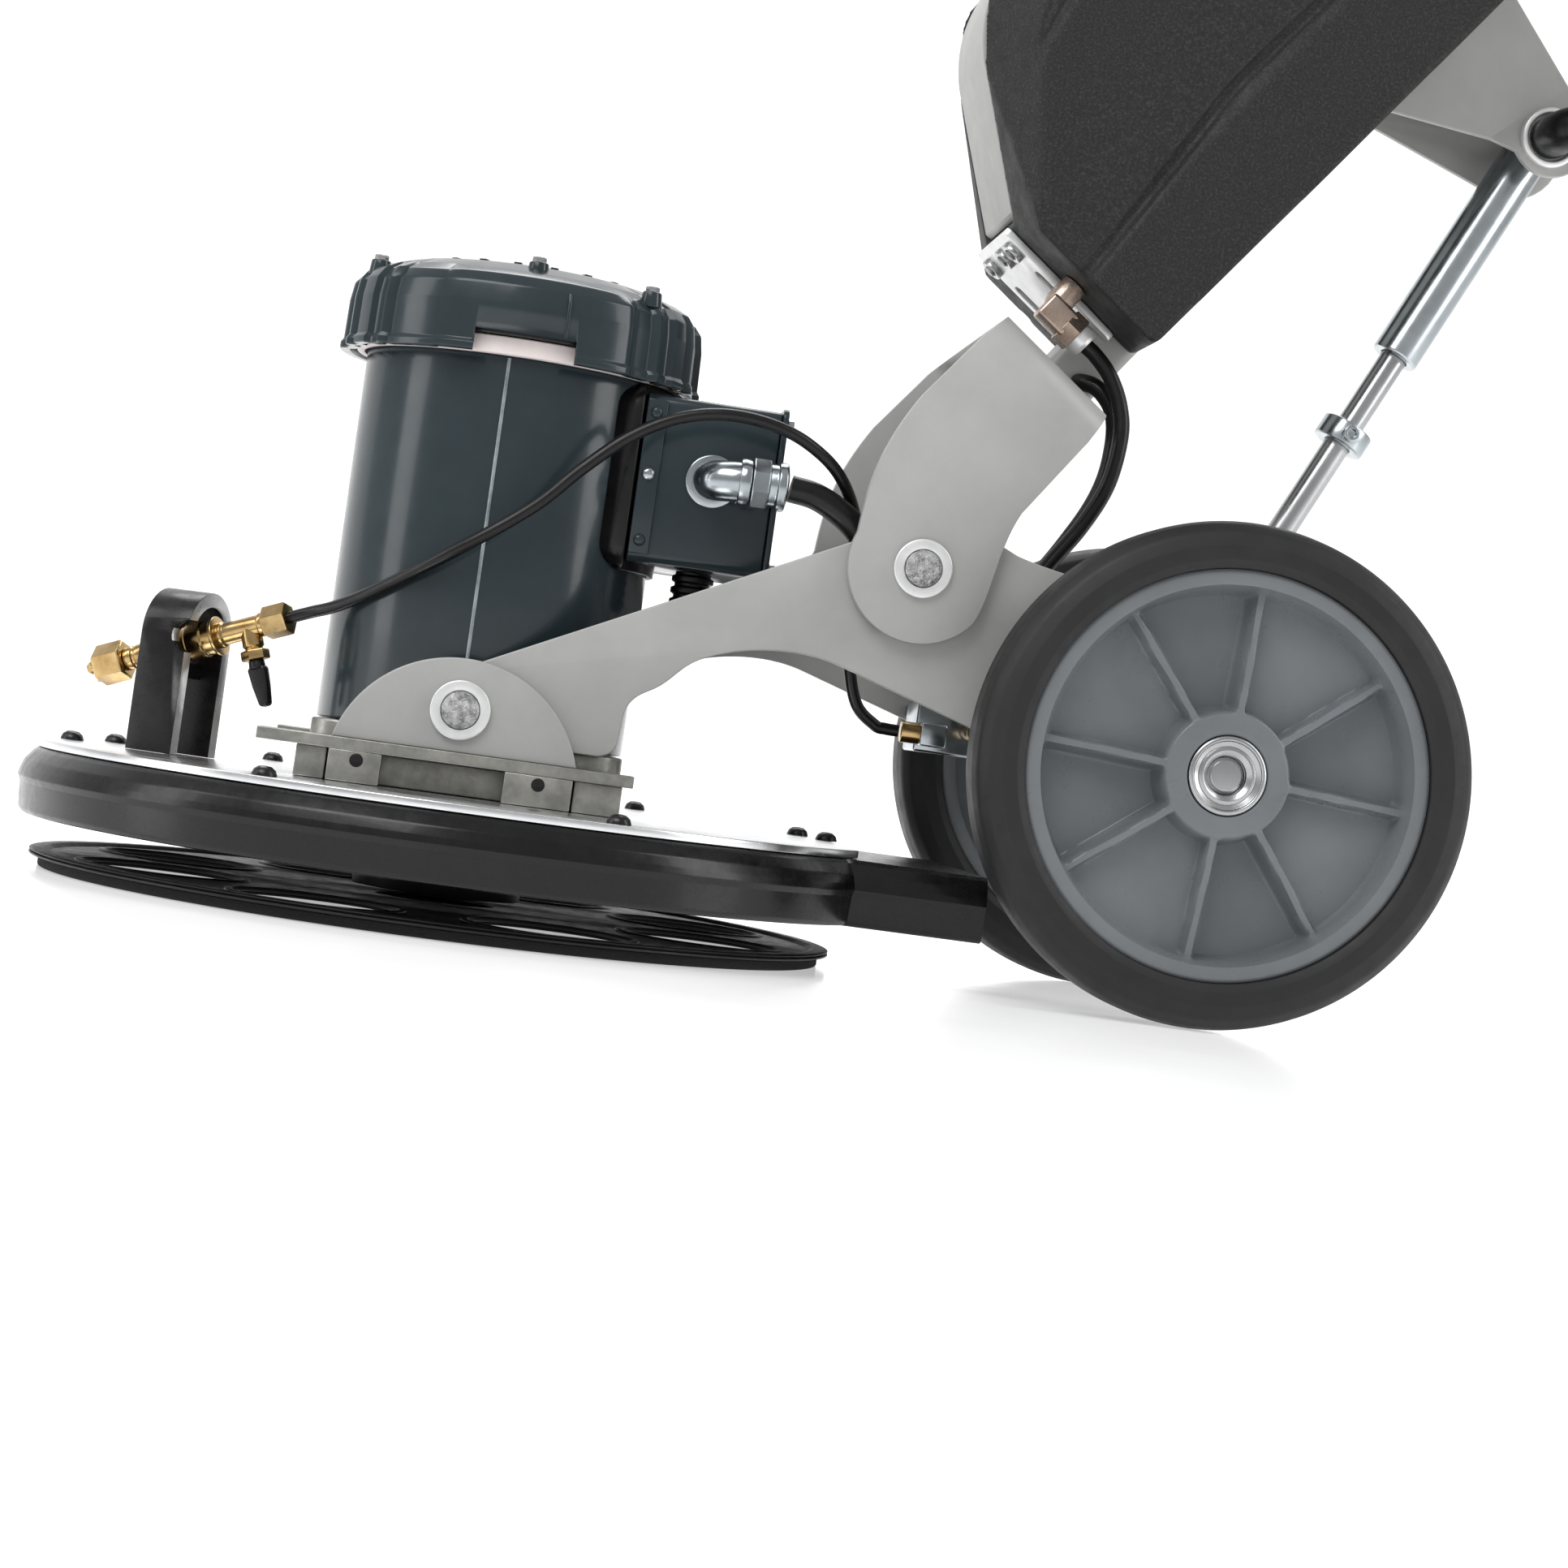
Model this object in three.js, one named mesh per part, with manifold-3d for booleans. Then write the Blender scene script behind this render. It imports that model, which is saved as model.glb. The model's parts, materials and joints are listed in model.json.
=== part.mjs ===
// Orbital wet scrubbing floor machine: deck with motor, wheeled frame, folding handle and solution tank.
// Millimetres, +Z up. X runs from the deck towards the wheels and the operator, Y across the machine.
// The origin is on the floor under the motor shaft.
import * as THREE from 'three';
import { mergeVertices } from 'three/addons/utils/BufferGeometryUtils.js';
import Module from 'manifold-3d';

const wasm = await Module();
wasm.setup();

// ---------- driving dimensions ----------
const CLEAR = 0.3;

const DECK_R = 218;
const DECK_TOP = 64;
const PLATE_CUT_X = 203;
const BASE_R = 214.2;
const BASE_TOP = 59.6;
const SKIRT_LOW = 27;
const TAIL_X = 268;
const TAIL_HALF = 93;

const MOTOR_R = 80.5;
const MOTOR_LOW = 94.3;
const MOTOR_TOP = 291;
const COVER_R = 94;
const COVER_TOP = 338;
const SHAFT_R = 9.7;
const ORBIT_X = -6.3;
const ORBIT_Y = -3;
const PAD_R = 208.7;

const EAR_X = -7;
const EAR_Z = 107;
const TILT_X = 213;
const TILT_Z = 210;
const AXLE_X = 371;
const AXLE_Z = 127;
const PIN_R = 9.5;
const ARM_IN = 84;
const ARM_OUT = 91;
const CHEEK_IN = 91.8;
const CHEEK_OUT = 99;

const WHEEL_R = 127;
const RIM_R = 102.4;
const TRACK_HALF = 132;
const TYRE_HALF = 25;

const HANDLE_LEAN = THREE.MathUtils.degToRad(36.4);
const WEB_S = 125.3;
const COLUMN_TOP = 940;
const COLUMN_FRONT = -24;
const COLUMN_BACK = 7;
const COLUMN_HALF = 30;
const TANK_HALF = 88;
const TANK_LOW = 168.8;
const GUARD_HALF = 40;

const STRUT_TOP_T = 86;
const STRUT_TOP_S = 417;
const STRUT_FOOT_X = 367;
const STRUT_FOOT_Z = 157;

// ---------- colours and finishes ----------
const finish = (color, roughness, metalness) => new THREE.MeshStandardMaterial({ color, roughness, metalness });
const teal = finish(0x36444a, 0.22, 0.1);
const grey = finish(0xb4b6b5, 0.42, 0.35);
const polished = finish(0xd6d8da, 0.15, 0.9);
const castGrey = finish(0x8b8d8a, 0.5, 0.6);
const black = finish(0x17181a, 0.35, 0);
const blackMatte = finish(0x222324, 0.7, 0);
const rubber = finish(0x2c2d2e, 0.75, 0);
const coreGrey = finish(0x7f8990, 0.45, 0);
const zinc = finish(0xc3c9cc, 0.25, 0.9);
const steel = finish(0x9a9da0, 0.3, 0.9);
const brass = finish(0xbf9650, 0.3, 0.9);
const tankBlack = finish(0x3a3b3c, 0.6, 0);
const copper = finish(0x9a5a34, 0.45, 0.6);

// ---------- solids ----------
function toSolid(geometry) {
  const bare = geometry.clone();
  bare.deleteAttribute('normal');
  bare.deleteAttribute('uv');
  const merged = mergeVertices(bare, 1e-4);
  const solid = new wasm.Manifold(new wasm.Mesh({
    numProp: 3,
    vertProperties: new Float32Array(merged.attributes.position.array),
    triVerts: new Uint32Array(merged.index.array),
  }));
  return solid;
}

function toGeometry(solid) {
  const mesh = solid.getMesh();
  const geometry = new THREE.BufferGeometry();
  geometry.setAttribute('position', new THREE.BufferAttribute(new Float32Array(mesh.vertProperties), 3));
  geometry.setIndex(new THREE.BufferAttribute(new Uint32Array(mesh.triVerts), 1));
  geometry.computeVertexNormals();
  return geometry;
}

// Sides of a round part: fewer than asked for, in fours, so that opposite faces stay parallel.
const DETAIL = 0.5;
const sides = (asked) => Math.max(8, Math.round((asked * DETAIL) / 4) * 4);

const join = (first, ...rest) => rest.reduce((sum, solid) => sum.add(solid), first);
const cut = (first, ...rest) => rest.reduce((left, solid) => left.subtract(solid), first);

function box(x0, x1, y0, y1, z0, z1) {
  const geometry = new THREE.BoxGeometry(x1 - x0, y1 - y0, z1 - z0);
  geometry.translate((x0 + x1) / 2, (y0 + y1) / 2, (z0 + z1) / 2);
  return toSolid(geometry);
}

// A profile of [radius, height] points turned about Z.
function turned(profile, segments = 48) {
  const closed = profile[0][0] < 1e-6 ? profile : [...profile, profile[0]];
  return toSolid(new THREE.LatheGeometry(closed.map(([r, z]) => new THREE.Vector2(r, z)), sides(segments)).rotateX(Math.PI / 2));
}

// A profile of [radius, y] points turned about an axis along Y through (x, z).
function turnedY(profile, x, z, segments = 40) {
  const closed = profile[0][0] < 1e-6 ? profile : [...profile, profile[0]];
  const geometry = new THREE.LatheGeometry(closed.map(([r, y]) => new THREE.Vector2(r, y)), sides(segments));
  geometry.translate(x, 0, z);
  return toSolid(geometry);
}

function discZ(r, x, y, z0, z1, segments = 40) {
  const geometry = new THREE.CylinderGeometry(r, r, z1 - z0, sides(segments));
  geometry.rotateX(Math.PI / 2);
  geometry.translate(x, y, (z0 + z1) / 2);
  return toSolid(geometry);
}

function discY(r, x, z, y0, y1, segments = 32) {
  const geometry = new THREE.CylinderGeometry(r, r, y1 - y0, sides(segments));
  geometry.translate(x, (y0 + y1) / 2, z);
  return toSolid(geometry);
}

function discX(r, y, z, x0, x1, segments = 24) {
  const geometry = new THREE.CylinderGeometry(r, r, x1 - x0, sides(segments));
  geometry.rotateZ(Math.PI / 2);
  geometry.translate((x0 + x1) / 2, y, z);
  return toSolid(geometry);
}

// A shape drawn in X and Z, made solid between two Y planes.
function sidePlate(shape, y0, y1, curveSegments = 10) {
  const geometry = new THREE.ExtrudeGeometry(shape, { depth: y1 - y0, bevelEnabled: false, curveSegments });
  geometry.rotateX(Math.PI / 2);
  geometry.translate(0, y1, 0);
  return toSolid(geometry);
}

// A shape drawn in X and Y, made solid between two heights.
function flatPlate(shape, z0, z1, curveSegments = 10) {
  const geometry = new THREE.ExtrudeGeometry(shape, { depth: z1 - z0, bevelEnabled: false, curveSegments });
  geometry.translate(0, 0, z0);
  return toSolid(geometry);
}

// A shape drawn in Y and Z, made solid between two X planes.
function endPlate(shape, x0, x1, curveSegments = 10) {
  const geometry = new THREE.ExtrudeGeometry(shape, { depth: x1 - x0, bevelEnabled: false, curveSegments });
  geometry.rotateX(Math.PI / 2);
  geometry.rotateZ(Math.PI / 2);
  geometry.translate(x0, 0, 0);
  return toSolid(geometry);
}

function polygon(points) {
  return new THREE.Shape(points.map(([x, y]) => new THREE.Vector2(x, y)));
}

function roundedBox(x0, x1, y0, y1, r) {
  const shape = new THREE.Shape();
  shape.moveTo(x0 + r, y0);
  shape.lineTo(x1 - r, y0);
  shape.absarc(x1 - r, y0 + r, r, -Math.PI / 2, 0, false);
  shape.lineTo(x1, y1 - r);
  shape.absarc(x1 - r, y1 - r, r, 0, Math.PI / 2, false);
  shape.lineTo(x0 + r, y1);
  shape.absarc(x0 + r, y1 - r, r, Math.PI / 2, Math.PI, false);
  shape.lineTo(x0, y0 + r);
  shape.absarc(x0 + r, y0 + r, r, Math.PI, Math.PI * 1.5, false);
  return shape;
}

// A round hose or cable along a smooth curve through hand-set points.
function hose(points, r, steps = 48, sides = 10) {
  const path = new THREE.CatmullRomCurve3(points.map((p) => new THREE.Vector3(...p)), false, 'centripetal');
  const circle = new THREE.Shape();
  circle.absarc(0, 0, r, 0, Math.PI * 2, false);
  return toSolid(new THREE.ExtrudeGeometry(circle, {
    steps, curveSegments: Math.round(sides / 2), bevelEnabled: false, extrudePath: path,
  }));
}

const mirrorY = (solid) => solid.mirror([0, 1, 0]);

function node(parent, name, solid, material) {
  const mesh = new THREE.Mesh(toGeometry(solid), material);
  mesh.name = name;
  parent.add(mesh);
  return mesh;
}

const machine = new THREE.Group();
machine.name = 'wet_dry_floor_scrubber';

// ---------- deck ----------
function deckPlate() {
  return cut(
    discZ(DECK_R, 0, 0, DECK_TOP - 4, DECK_TOP, 96),
    box(PLATE_CUT_X, 300, -300, 300, 0, 100),
    discZ(26, 0, 0, 0, 100),
  );
}

function deckBase() {
  const dish = join(
    discZ(BASE_R, 0, 0, BASE_TOP - 5.6, BASE_TOP, 96),
    box(120, TAIL_X, -TAIL_HALF, TAIL_HALF, BASE_TOP - 5.6, BASE_TOP),
    turned([[BASE_R - 6, SKIRT_LOW], [BASE_R, SKIRT_LOW], [BASE_R, BASE_TOP - 3], [BASE_R - 6, BASE_TOP - 3]], 96),
    box(190, TAIL_X, -TAIL_HALF, -TAIL_HALF + 6, SKIRT_LOW, BASE_TOP - 3),
    box(190, TAIL_X, TAIL_HALF - 6, TAIL_HALF, SKIRT_LOW, BASE_TOP - 3),
  );
  return cut(dish, discZ(26, 0, 0, 0, 100));
}

// The bumper's section: how far it stands out from the deck's edge at each height.
const BUMPER_SECTION = [
  [CLEAR, 27], [6, 25.5], [9.6, 28], [10.4, 42], [11.8, 45], [10.4, 50], [7, 56], [3.4, 59.6], [CLEAR, 59.6],
];

function bumper() {
  const ring = turned(BUMPER_SECTION.map(([out, z]) => [BASE_R + out, z]), 96);
  const section = polygon(BUMPER_SECTION.map(([out, z]) => [TAIL_HALF + out, z]));
  const tail = endPlate(section, 180, TAIL_X);
  const inside = join(
    discZ(BASE_R + CLEAR, 0, 0, 0, 100, 96),
    box(0, 300, -TAIL_HALF - CLEAR, TAIL_HALF + CLEAR, 0, 100),
  );
  return cut(join(ring, tail, mirrorY(tail)), inside);
}

function pivotBracket() {
  const plate = box(-104, 83, 81.6, 105, 80, 86);
  const front = box(-67, -42, 81.6, 105, DECK_TOP + CLEAR, 80.5);
  const back = box(19, 53, 81.6, 105, DECK_TOP + CLEAR, 80.5);
  const half = Math.acos(16 / 63);
  const outline = new THREE.Shape();
  outline.absarc(EAR_X, 70, 63, Math.PI / 2 - half, Math.PI / 2 + half, false);
  const ear = sidePlate(outline, CHEEK_IN, CHEEK_OUT, 28);
  return cut(join(plate, front, back, ear), discY(PIN_R + CLEAR, EAR_X, EAR_Z, 80, 110));
}

function earBolt() {
  return join(
    discY(PIN_R, EAR_X, EAR_Z, 82.4, 104.6),
    discY(15, EAR_X, EAR_Z, CHEEK_OUT + CLEAR, 102),
  );
}

node(machine, 'deck_plate', deckPlate(), polished);
node(machine, 'deck_base', deckBase(), castGrey);
node(machine, 'bumper', bumper(), black);
node(machine, 'pivot_bracket_far', pivotBracket(), grey);
node(machine, 'pivot_bracket_near', mirrorY(pivotBracket()), grey);
node(machine, 'ear_bolt_far', earBolt(), zinc);
node(machine, 'ear_bolt_near', mirrorY(earBolt()), zinc);

// ---------- motor ----------
function motorAdapter() {
  return cut(
    flatPlate(roundedBox(-81, 79, -81, 81, 14), DECK_TOP + CLEAR, MOTOR_LOW - CLEAR, 6),
    discZ(26, 0, 0, 0, 200),
  );
}

function motorShell() {
  return turned([
    [16, MOTOR_LOW], [MOTOR_R, MOTOR_LOW], [MOTOR_R, MOTOR_TOP], [12, MOTOR_TOP],
    [12, MOTOR_TOP - 6], [MOTOR_R - 4, MOTOR_TOP - 6], [MOTOR_R - 4, MOTOR_LOW + 6], [16, MOTOR_LOW + 6],
  ], 64);
}

function stator() {
  return turned([[50, 130], [MOTOR_R - 4.5, 130], [MOTOR_R - 4.5, 250], [50, 250]], 48);
}

// The fan cover's plan: a circle with shallow flats, deeper where the screw bosses stand.
function coverOutline(r, depth) {
  const lobes = 6;
  const points = [];
  for (let i = 0; i < 48; i += 1) {
    const a = (i / 48) * Math.PI * 2;
    const dip = Math.pow(Math.abs(Math.cos((a * lobes) / 2 + 0.6)), 8);
    points.push([(r - depth * dip) * Math.cos(a), (r - depth * dip) * Math.sin(a)]);
  }
  return polygon(points);
}

function fanCover() {
  const side = flatPlate(coverOutline(COVER_R, 4), 286, COVER_TOP - 12);
  const shoulder = turned([[0, COVER_TOP - 12.5], [COVER_R - 6, COVER_TOP - 12.5], [78, COVER_TOP], [0, COVER_TOP]], 64);
  const hollow = turned([[0, 280], [COVER_R - 7, 280], [COVER_R - 7, COVER_TOP - 14], [76, COVER_TOP - 4], [0, COVER_TOP - 4]], 48);
  const notch = box(-27, 21, -110, -70, 280, 298);
  const vents = [];
  for (let i = 0; i < 12; i += 1) {
    const a = (i / 12) * Math.PI * 2;
    vents.push(discZ(7, 48 * Math.cos(a), 48 * Math.sin(a), 320, 350, 16));
  }
  const lugs = [];
  for (let i = 0; i < 4; i += 1) {
    lugs.push(box(MOTOR_R + CLEAR, COVER_R - 5, -6, 6, 287, 290.5).rotate([0, 0, 45 + i * 90]));
  }
  return join(cut(join(side, shoulder), hollow, notch, ...vents), ...lugs);
}

function rotorShaft() {
  return join(discZ(SHAFT_R, 0, 0, 38, 318), discZ(49, 0, 0, 136, 244));
}

function coolingFan() {
  const disc = turned([[SHAFT_R + CLEAR, 296], [66, 296], [66, 299], [20, 302], [20, 312], [SHAFT_R + CLEAR, 312]], 40);
  const blades = [];
  for (let i = 0; i < 8; i += 1) {
    blades.push(box(18, 66, -1.5, 1.5, 298, 318).rotate([0, 0, i * 45]));
  }
  return join(disc, ...blades);
}

node(machine, 'motor_adapter', motorAdapter(), castGrey);
node(machine, 'motor_shell', motorShell(), teal);
node(machine, 'stator', stator(), copper);
node(machine, 'fan_cover', fanCover(), teal);
node(machine, 'rotor_shaft', rotorShaft(), steel);
node(machine, 'cooling_fan', coolingFan(), black);

// ---------- orbital drive and pad ----------
function eccentricHub() {
  const head = join(
    discZ(37, ORBIT_X, ORBIT_Y, 33.5, 52),
    discZ(15 - CLEAR, ORBIT_X, ORBIT_Y, 9.5, 34),
    box(0, 46, -24, 24, 36, 50),
  );
  return cut(head, discZ(SHAFT_R + CLEAR, 0, 0, 37.7, 60));
}

function driverBearing() {
  return turned([[15, 11.3], [31, 11.3], [31, 30], [15, 30]], 40).translate([ORBIT_X, ORBIT_Y, 0]);
}

function padDriver() {
  const body = turned([
    [31.3, 11], [26, 11], [26, 8], [44, 5.3], [PAD_R - 2, 5.3], [PAD_R, 6], [PAD_R, 7], [PAD_R - 1.8, 7.4],
    [PAD_R, 7.8], [PAD_R, 9.6], [PAD_R - 9, 9.6], [PAD_R - 10.5, 8.2], [44, 8.2], [44, 31], [31.3, 31],
  ], 96);
  return cut(body, ...driverWindows(0)).translate([ORBIT_X, ORBIT_Y, 0]);
}

// Large round openings that lighten the driver; the gripping face leaves the same places open.
function driverWindows(wider) {
  const windows = [];
  for (let i = 0; i < 8; i += 1) {
    const a = ((i + 0.5) / 8) * Math.PI * 2;
    windows.push(discZ(40 + wider, 148 * Math.cos(a), 148 * Math.sin(a), -5, 30, 32));
  }
  return windows;
}

function padGripper() {
  const face = turned([[0, 0], [PAD_R - 7, 0], [PAD_R - 4, 2], [PAD_R - 4, 5], [0, 5]], 96);
  return cut(face, ...driverWindows(1)).translate([ORBIT_X, ORBIT_Y, 0]);
}

node(machine, 'eccentric_hub', eccentricHub(), black);
node(machine, 'driver_bearing', driverBearing(), steel);
node(machine, 'pad_driver', padDriver(), black);
node(machine, 'pad_gripper', padGripper(), blackMatte);

// ---------- junction box ----------
function junctionGasket() {
  const pad = join(
    box(44, 64.7, -62, 40, 191, 285),
    discZ(MOTOR_R + 3.5, 0, 0, 191, 285, 80).intersect(box(40, 100, -62, 40, 190, 286)),
  );
  return cut(pad, discZ(MOTOR_R + CLEAR, 0, 0, 150, 330, 64));
}

function junctionBox() {
  const outer = endPlate(roundedBox(-60, 38, 195, 282, 5), 65, 135.7, 4);
  const inner = cut(endPlate(roundedBox(-57, 35, 198, 279, 3), 69, 140, 4), discZ(MOTOR_R + 8, 0, 0, 150, 330, 64));
  const motorSide = discZ(MOTOR_R + 4.2, 0, 0, 150, 330, 80);
  return cut(outer, inner, motorSide, discY(9, 104, 241, -70, -50), discX(10, -10, 240, 60, 100));
}

function junctionCover() {
  return endPlate(roundedBox(-62, 40, 193, 284, 6), 136, 139, 4);
}

function conduitElbow() {
  const turn = hose([[104, -60.3, 241], [104, -68, 241], [107, -74.5, 241], [114, -78, 241.4], [124, -78, 242]], 10.5, 10, 10);
  const flange = discY(14, 104, 241, -64, -60.3, 24);
  const nut = discX(13, -78, 242, 122, 141.7, 8);
  return join(turn, flange, nut);
}

function boxPlug() {
  const ribs = [];
  for (let i = 0; i < 4; i += 1) {
    ribs.push(discZ(11, 103, -34, 171 + i * 6, 174.5 + i * 6, 20));
  }
  return join(discZ(9.5, 103, -34, 168, 194.7, 20), ...ribs);
}

node(machine, 'junction_gasket', junctionGasket(), rubber);
node(machine, 'junction_box', junctionBox(), teal);
node(machine, 'junction_cover', junctionCover(), teal);
node(machine, 'conduit_elbow', conduitElbow(), zinc);
node(machine, 'box_plug', boxPlug(), black);

// ---------- spray nozzle at the front of the deck ----------
const STRAP = new THREE.Group();
STRAP.position.set(-152, -4, 0);
STRAP.rotation.z = THREE.MathUtils.degToRad(-24);
machine.add(STRAP);
const NOZZLE_DROP = THREE.MathUtils.degToRad(20);
const NOZZLE_Z = 121.5;
const STUB_AT = 38;
const STRAP_OUT = 24.2;
const STRAP_IN = 16.6;
const ARCH_Z = 125.5;

function sprayStrap() {
  const outer = new THREE.Shape();
  outer.moveTo(-STRAP_OUT, DECK_TOP + CLEAR);
  outer.lineTo(-STRAP_IN, DECK_TOP + CLEAR);
  outer.lineTo(-STRAP_IN, ARCH_Z);
  outer.absarc(0, ARCH_Z, STRAP_IN, Math.PI, 0, true);
  outer.lineTo(STRAP_IN, DECK_TOP + CLEAR);
  outer.lineTo(STRAP_OUT, DECK_TOP + CLEAR);
  outer.lineTo(STRAP_OUT, ARCH_Z);
  outer.absarc(0, ARCH_Z, STRAP_OUT, 0, Math.PI, false);
  const saddle = cut(box(-2, 2, -17, 17, 104, 138), discX(11.4, 0, NOZZLE_Z, -10, 10, 24));
  return join(endPlate(outer, -13, 13, 16), saddle);
}

// Nozzle pieces are turned about their own axis, then tipped nose down.
function alongNozzle(profile, segments) {
  const geometry = new THREE.LatheGeometry(profile.map(([r, x]) => new THREE.Vector2(r, x)), segments);
  geometry.rotateZ(-Math.PI / 2);
  geometry.rotateY(-NOZZLE_DROP);
  geometry.translate(0, 0, NOZZLE_Z);
  return toSolid(geometry);
}

function nozzleBody() {
  const body = alongNozzle([
    [0, -34.2], [6.2, -34.2], [6.2, -22], [9.6, -22], [9.6, 18.4], [10.4, 18.4], [10.4, 20.4], [5.7, 20.4],
    [5.7, 47], [7.9, 47], [7.9, 61], [0, 61],
  ], 12);
  return join(body, onStub(discZ(5.4, 0, 0, -17.2, 0, 14)));
}

// The small tap hangs from the nozzle body, square to its axis.
function onStub(solid) {
  return solid.rotate([0, THREE.MathUtils.radToDeg(-NOZZLE_DROP), 0])
    .translate([STUB_AT * Math.cos(NOZZLE_DROP), 0, NOZZLE_Z + STUB_AT * Math.sin(NOZZLE_DROP)]);
}

function nozzleCap() {
  return alongNozzle([[0, -57.5], [3.4, -57.5], [3.6, -52], [9, -52], [10.6, -49], [10.6, -34.5], [0, -34.5]], 6);
}

function sprayLever() {
  const shank = discZ(4, 0, 0, -22, -17.5, 12);
  const blade = sidePlate(polygon([[-5.4, -20.5], [5.4, -20.5], [4.4, -37], [1.6, -42], [-1.6, -42], [-4.4, -37]]), -2.8, 2.8);
  return onStub(join(shank, blade));
}

node(STRAP, 'spray_strap', sprayStrap(), black);
node(STRAP, 'nozzle_body', nozzleBody(), brass);
node(STRAP, 'nozzle_cap', nozzleCap(), brass);
node(STRAP, 'spray_lever', sprayLever(), black);

// ---------- frame ----------
function armOutline() {
  const arm = new THREE.Shape();
  arm.moveTo(-22, 93.4);
  arm.lineTo(63, 93.4);
  arm.quadraticCurveTo(71.5, 94, 73, 102);
  arm.lineTo(73.8, 114);
  arm.quadraticCurveTo(74.5, 124, 84, 129);
  arm.bezierCurveTo(97, 135.5, 98, 145, 112, 150.5);
  arm.bezierCurveTo(132, 159.5, 160, 162, 180, 155.5);
  arm.lineTo(330, 109);
  arm.absarc(AXLE_X, AXLE_Z, 31, Math.PI * 1.2, Math.PI * 2.28, false);
  arm.lineTo(322, 206);
  arm.quadraticCurveTo(312, 215, 298, 217);
  arm.quadraticCurveTo(276, 220, 262, 224);
  arm.lineTo(228, 239);
  arm.quadraticCurveTo(218, 243, 209, 235);
  arm.lineTo(-13, 126);
  arm.quadraticCurveTo(-27, 119, -27, 108);
  arm.lineTo(-27, 98);
  return arm;
}

function arm() {
  return cut(
    sidePlate(armOutline(), ARM_IN, ARM_OUT, 10),
    discY(PIN_R + CLEAR, EAR_X, EAR_Z, 60, 110),
    discY(PIN_R + CLEAR, TILT_X, TILT_Z, 60, 110),
    discY(PIN_R + CLEAR, AXLE_X, AXLE_Z, 60, 110),
  );
}

const strutTop = new THREE.Vector3(STRUT_TOP_T, 0, STRUT_TOP_S)
  .applyAxisAngle(new THREE.Vector3(0, 1, 0), HANDLE_LEAN)
  .add(new THREE.Vector3(TILT_X, 0, TILT_Z));
const strutDir = new THREE.Vector3(STRUT_FOOT_X, 0, STRUT_FOOT_Z).sub(strutTop);
const strutLength = strutDir.length();
strutDir.normalize();

function axleTube() {
  const tube = cut(discY(17, AXLE_X, AXLE_Z, -ARM_IN + CLEAR, ARM_IN - CLEAR), discY(PIN_R + CLEAR, AXLE_X, AXLE_Z, -100, 100));
  const lug = new THREE.Shape();
  lug.moveTo(AXLE_X - 15, AXLE_Z + 4);
  lug.lineTo(AXLE_X + 15, AXLE_Z + 4);
  lug.lineTo(STRUT_FOOT_X + 20, STRUT_FOOT_Z + 4);
  lug.quadraticCurveTo(STRUT_FOOT_X + 18, STRUT_FOOT_Z + 17, STRUT_FOOT_X, STRUT_FOOT_Z + 17);
  lug.quadraticCurveTo(STRUT_FOOT_X - 18, STRUT_FOOT_Z + 17, STRUT_FOOT_X - 20, STRUT_FOOT_Z + 4);
  const slot = join(
    discY(6.5, STRUT_FOOT_X - 6.5, STRUT_FOOT_Z + 3, -30, 30, 24),
    discY(6.5, STRUT_FOOT_X + 6.5, STRUT_FOOT_Z - 3, -30, 30, 24),
    discY(6.5, STRUT_FOOT_X, STRUT_FOOT_Z, -30, 30, 24),
  );
  const bore = discY(PIN_R + CLEAR, AXLE_X, AXLE_Z, -100, 100);
  return cut(join(tube, sidePlate(lug, 9, 14), sidePlate(lug, -14, -9)), slot, bore);
}

function axle() {
  return join(
    discY(PIN_R, AXLE_X, AXLE_Z, -147, 147),
    discY(13, AXLE_X, AXLE_Z, 143, 145),
    discY(13, AXLE_X, AXLE_Z, -145, -143),
  );
}

function tiltShaft() {
  return join(
    discY(PIN_R, TILT_X, TILT_Z, -104.6, 104.6),
    discY(15, TILT_X, TILT_Z, CHEEK_OUT + CLEAR, 102),
    discY(15, TILT_X, TILT_Z, -102, -CHEEK_OUT - CLEAR),
    discY(13, TILT_X, TILT_Z, -ARM_IN + CLEAR, ARM_IN - CLEAR),
  );
}

function solutionValve() {
  return join(
    box(232, 270, -20, 20, 118, 146),
    discZ(13, 251, 6, 145, 164, 20),
    box(240, 262, 18, ARM_IN - CLEAR, 138, 145),
    discY(4.5, 260, 132, -44, -19, 16),
    discX(6, -34, 128, 222, 240, 16),
    box(232, 246, -42, -19, 122, 134),
  );
}

node(machine, 'arm_far', arm(), grey);
node(machine, 'arm_near', mirrorY(arm()), grey);
node(machine, 'axle_tube', axleTube(), grey);
node(machine, 'axle', axle(), steel);
node(machine, 'tilt_shaft', tiltShaft(), zinc);
node(machine, 'solution_valve', solutionValve(), zinc);

// ---------- wheels ----------
const RIB_ANGLES = [121.5, 81.3, 31.7, -10, -61.6, -101.7, -149.7, 169.8];

function tyre() {
  const w = TYRE_HALF;
  return turnedY([
    [RIM_R + CLEAR, TRACK_HALF - w + 3], [RIM_R + 6, TRACK_HALF - w], [WHEEL_R - 12, TRACK_HALF - w],
    [WHEEL_R - 5, TRACK_HALF - w + 3], [WHEEL_R - 1, TRACK_HALF - w + 9], [WHEEL_R, TRACK_HALF - w + 16],
    [WHEEL_R, TRACK_HALF + w - 16], [WHEEL_R - 1, TRACK_HALF + w - 9], [WHEEL_R - 5, TRACK_HALF + w - 3],
    [WHEEL_R - 12, TRACK_HALF + w], [RIM_R + 6, TRACK_HALF + w], [RIM_R + CLEAR, TRACK_HALF + w - 3],
  ], AXLE_X, AXLE_Z, 72);
}

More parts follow.
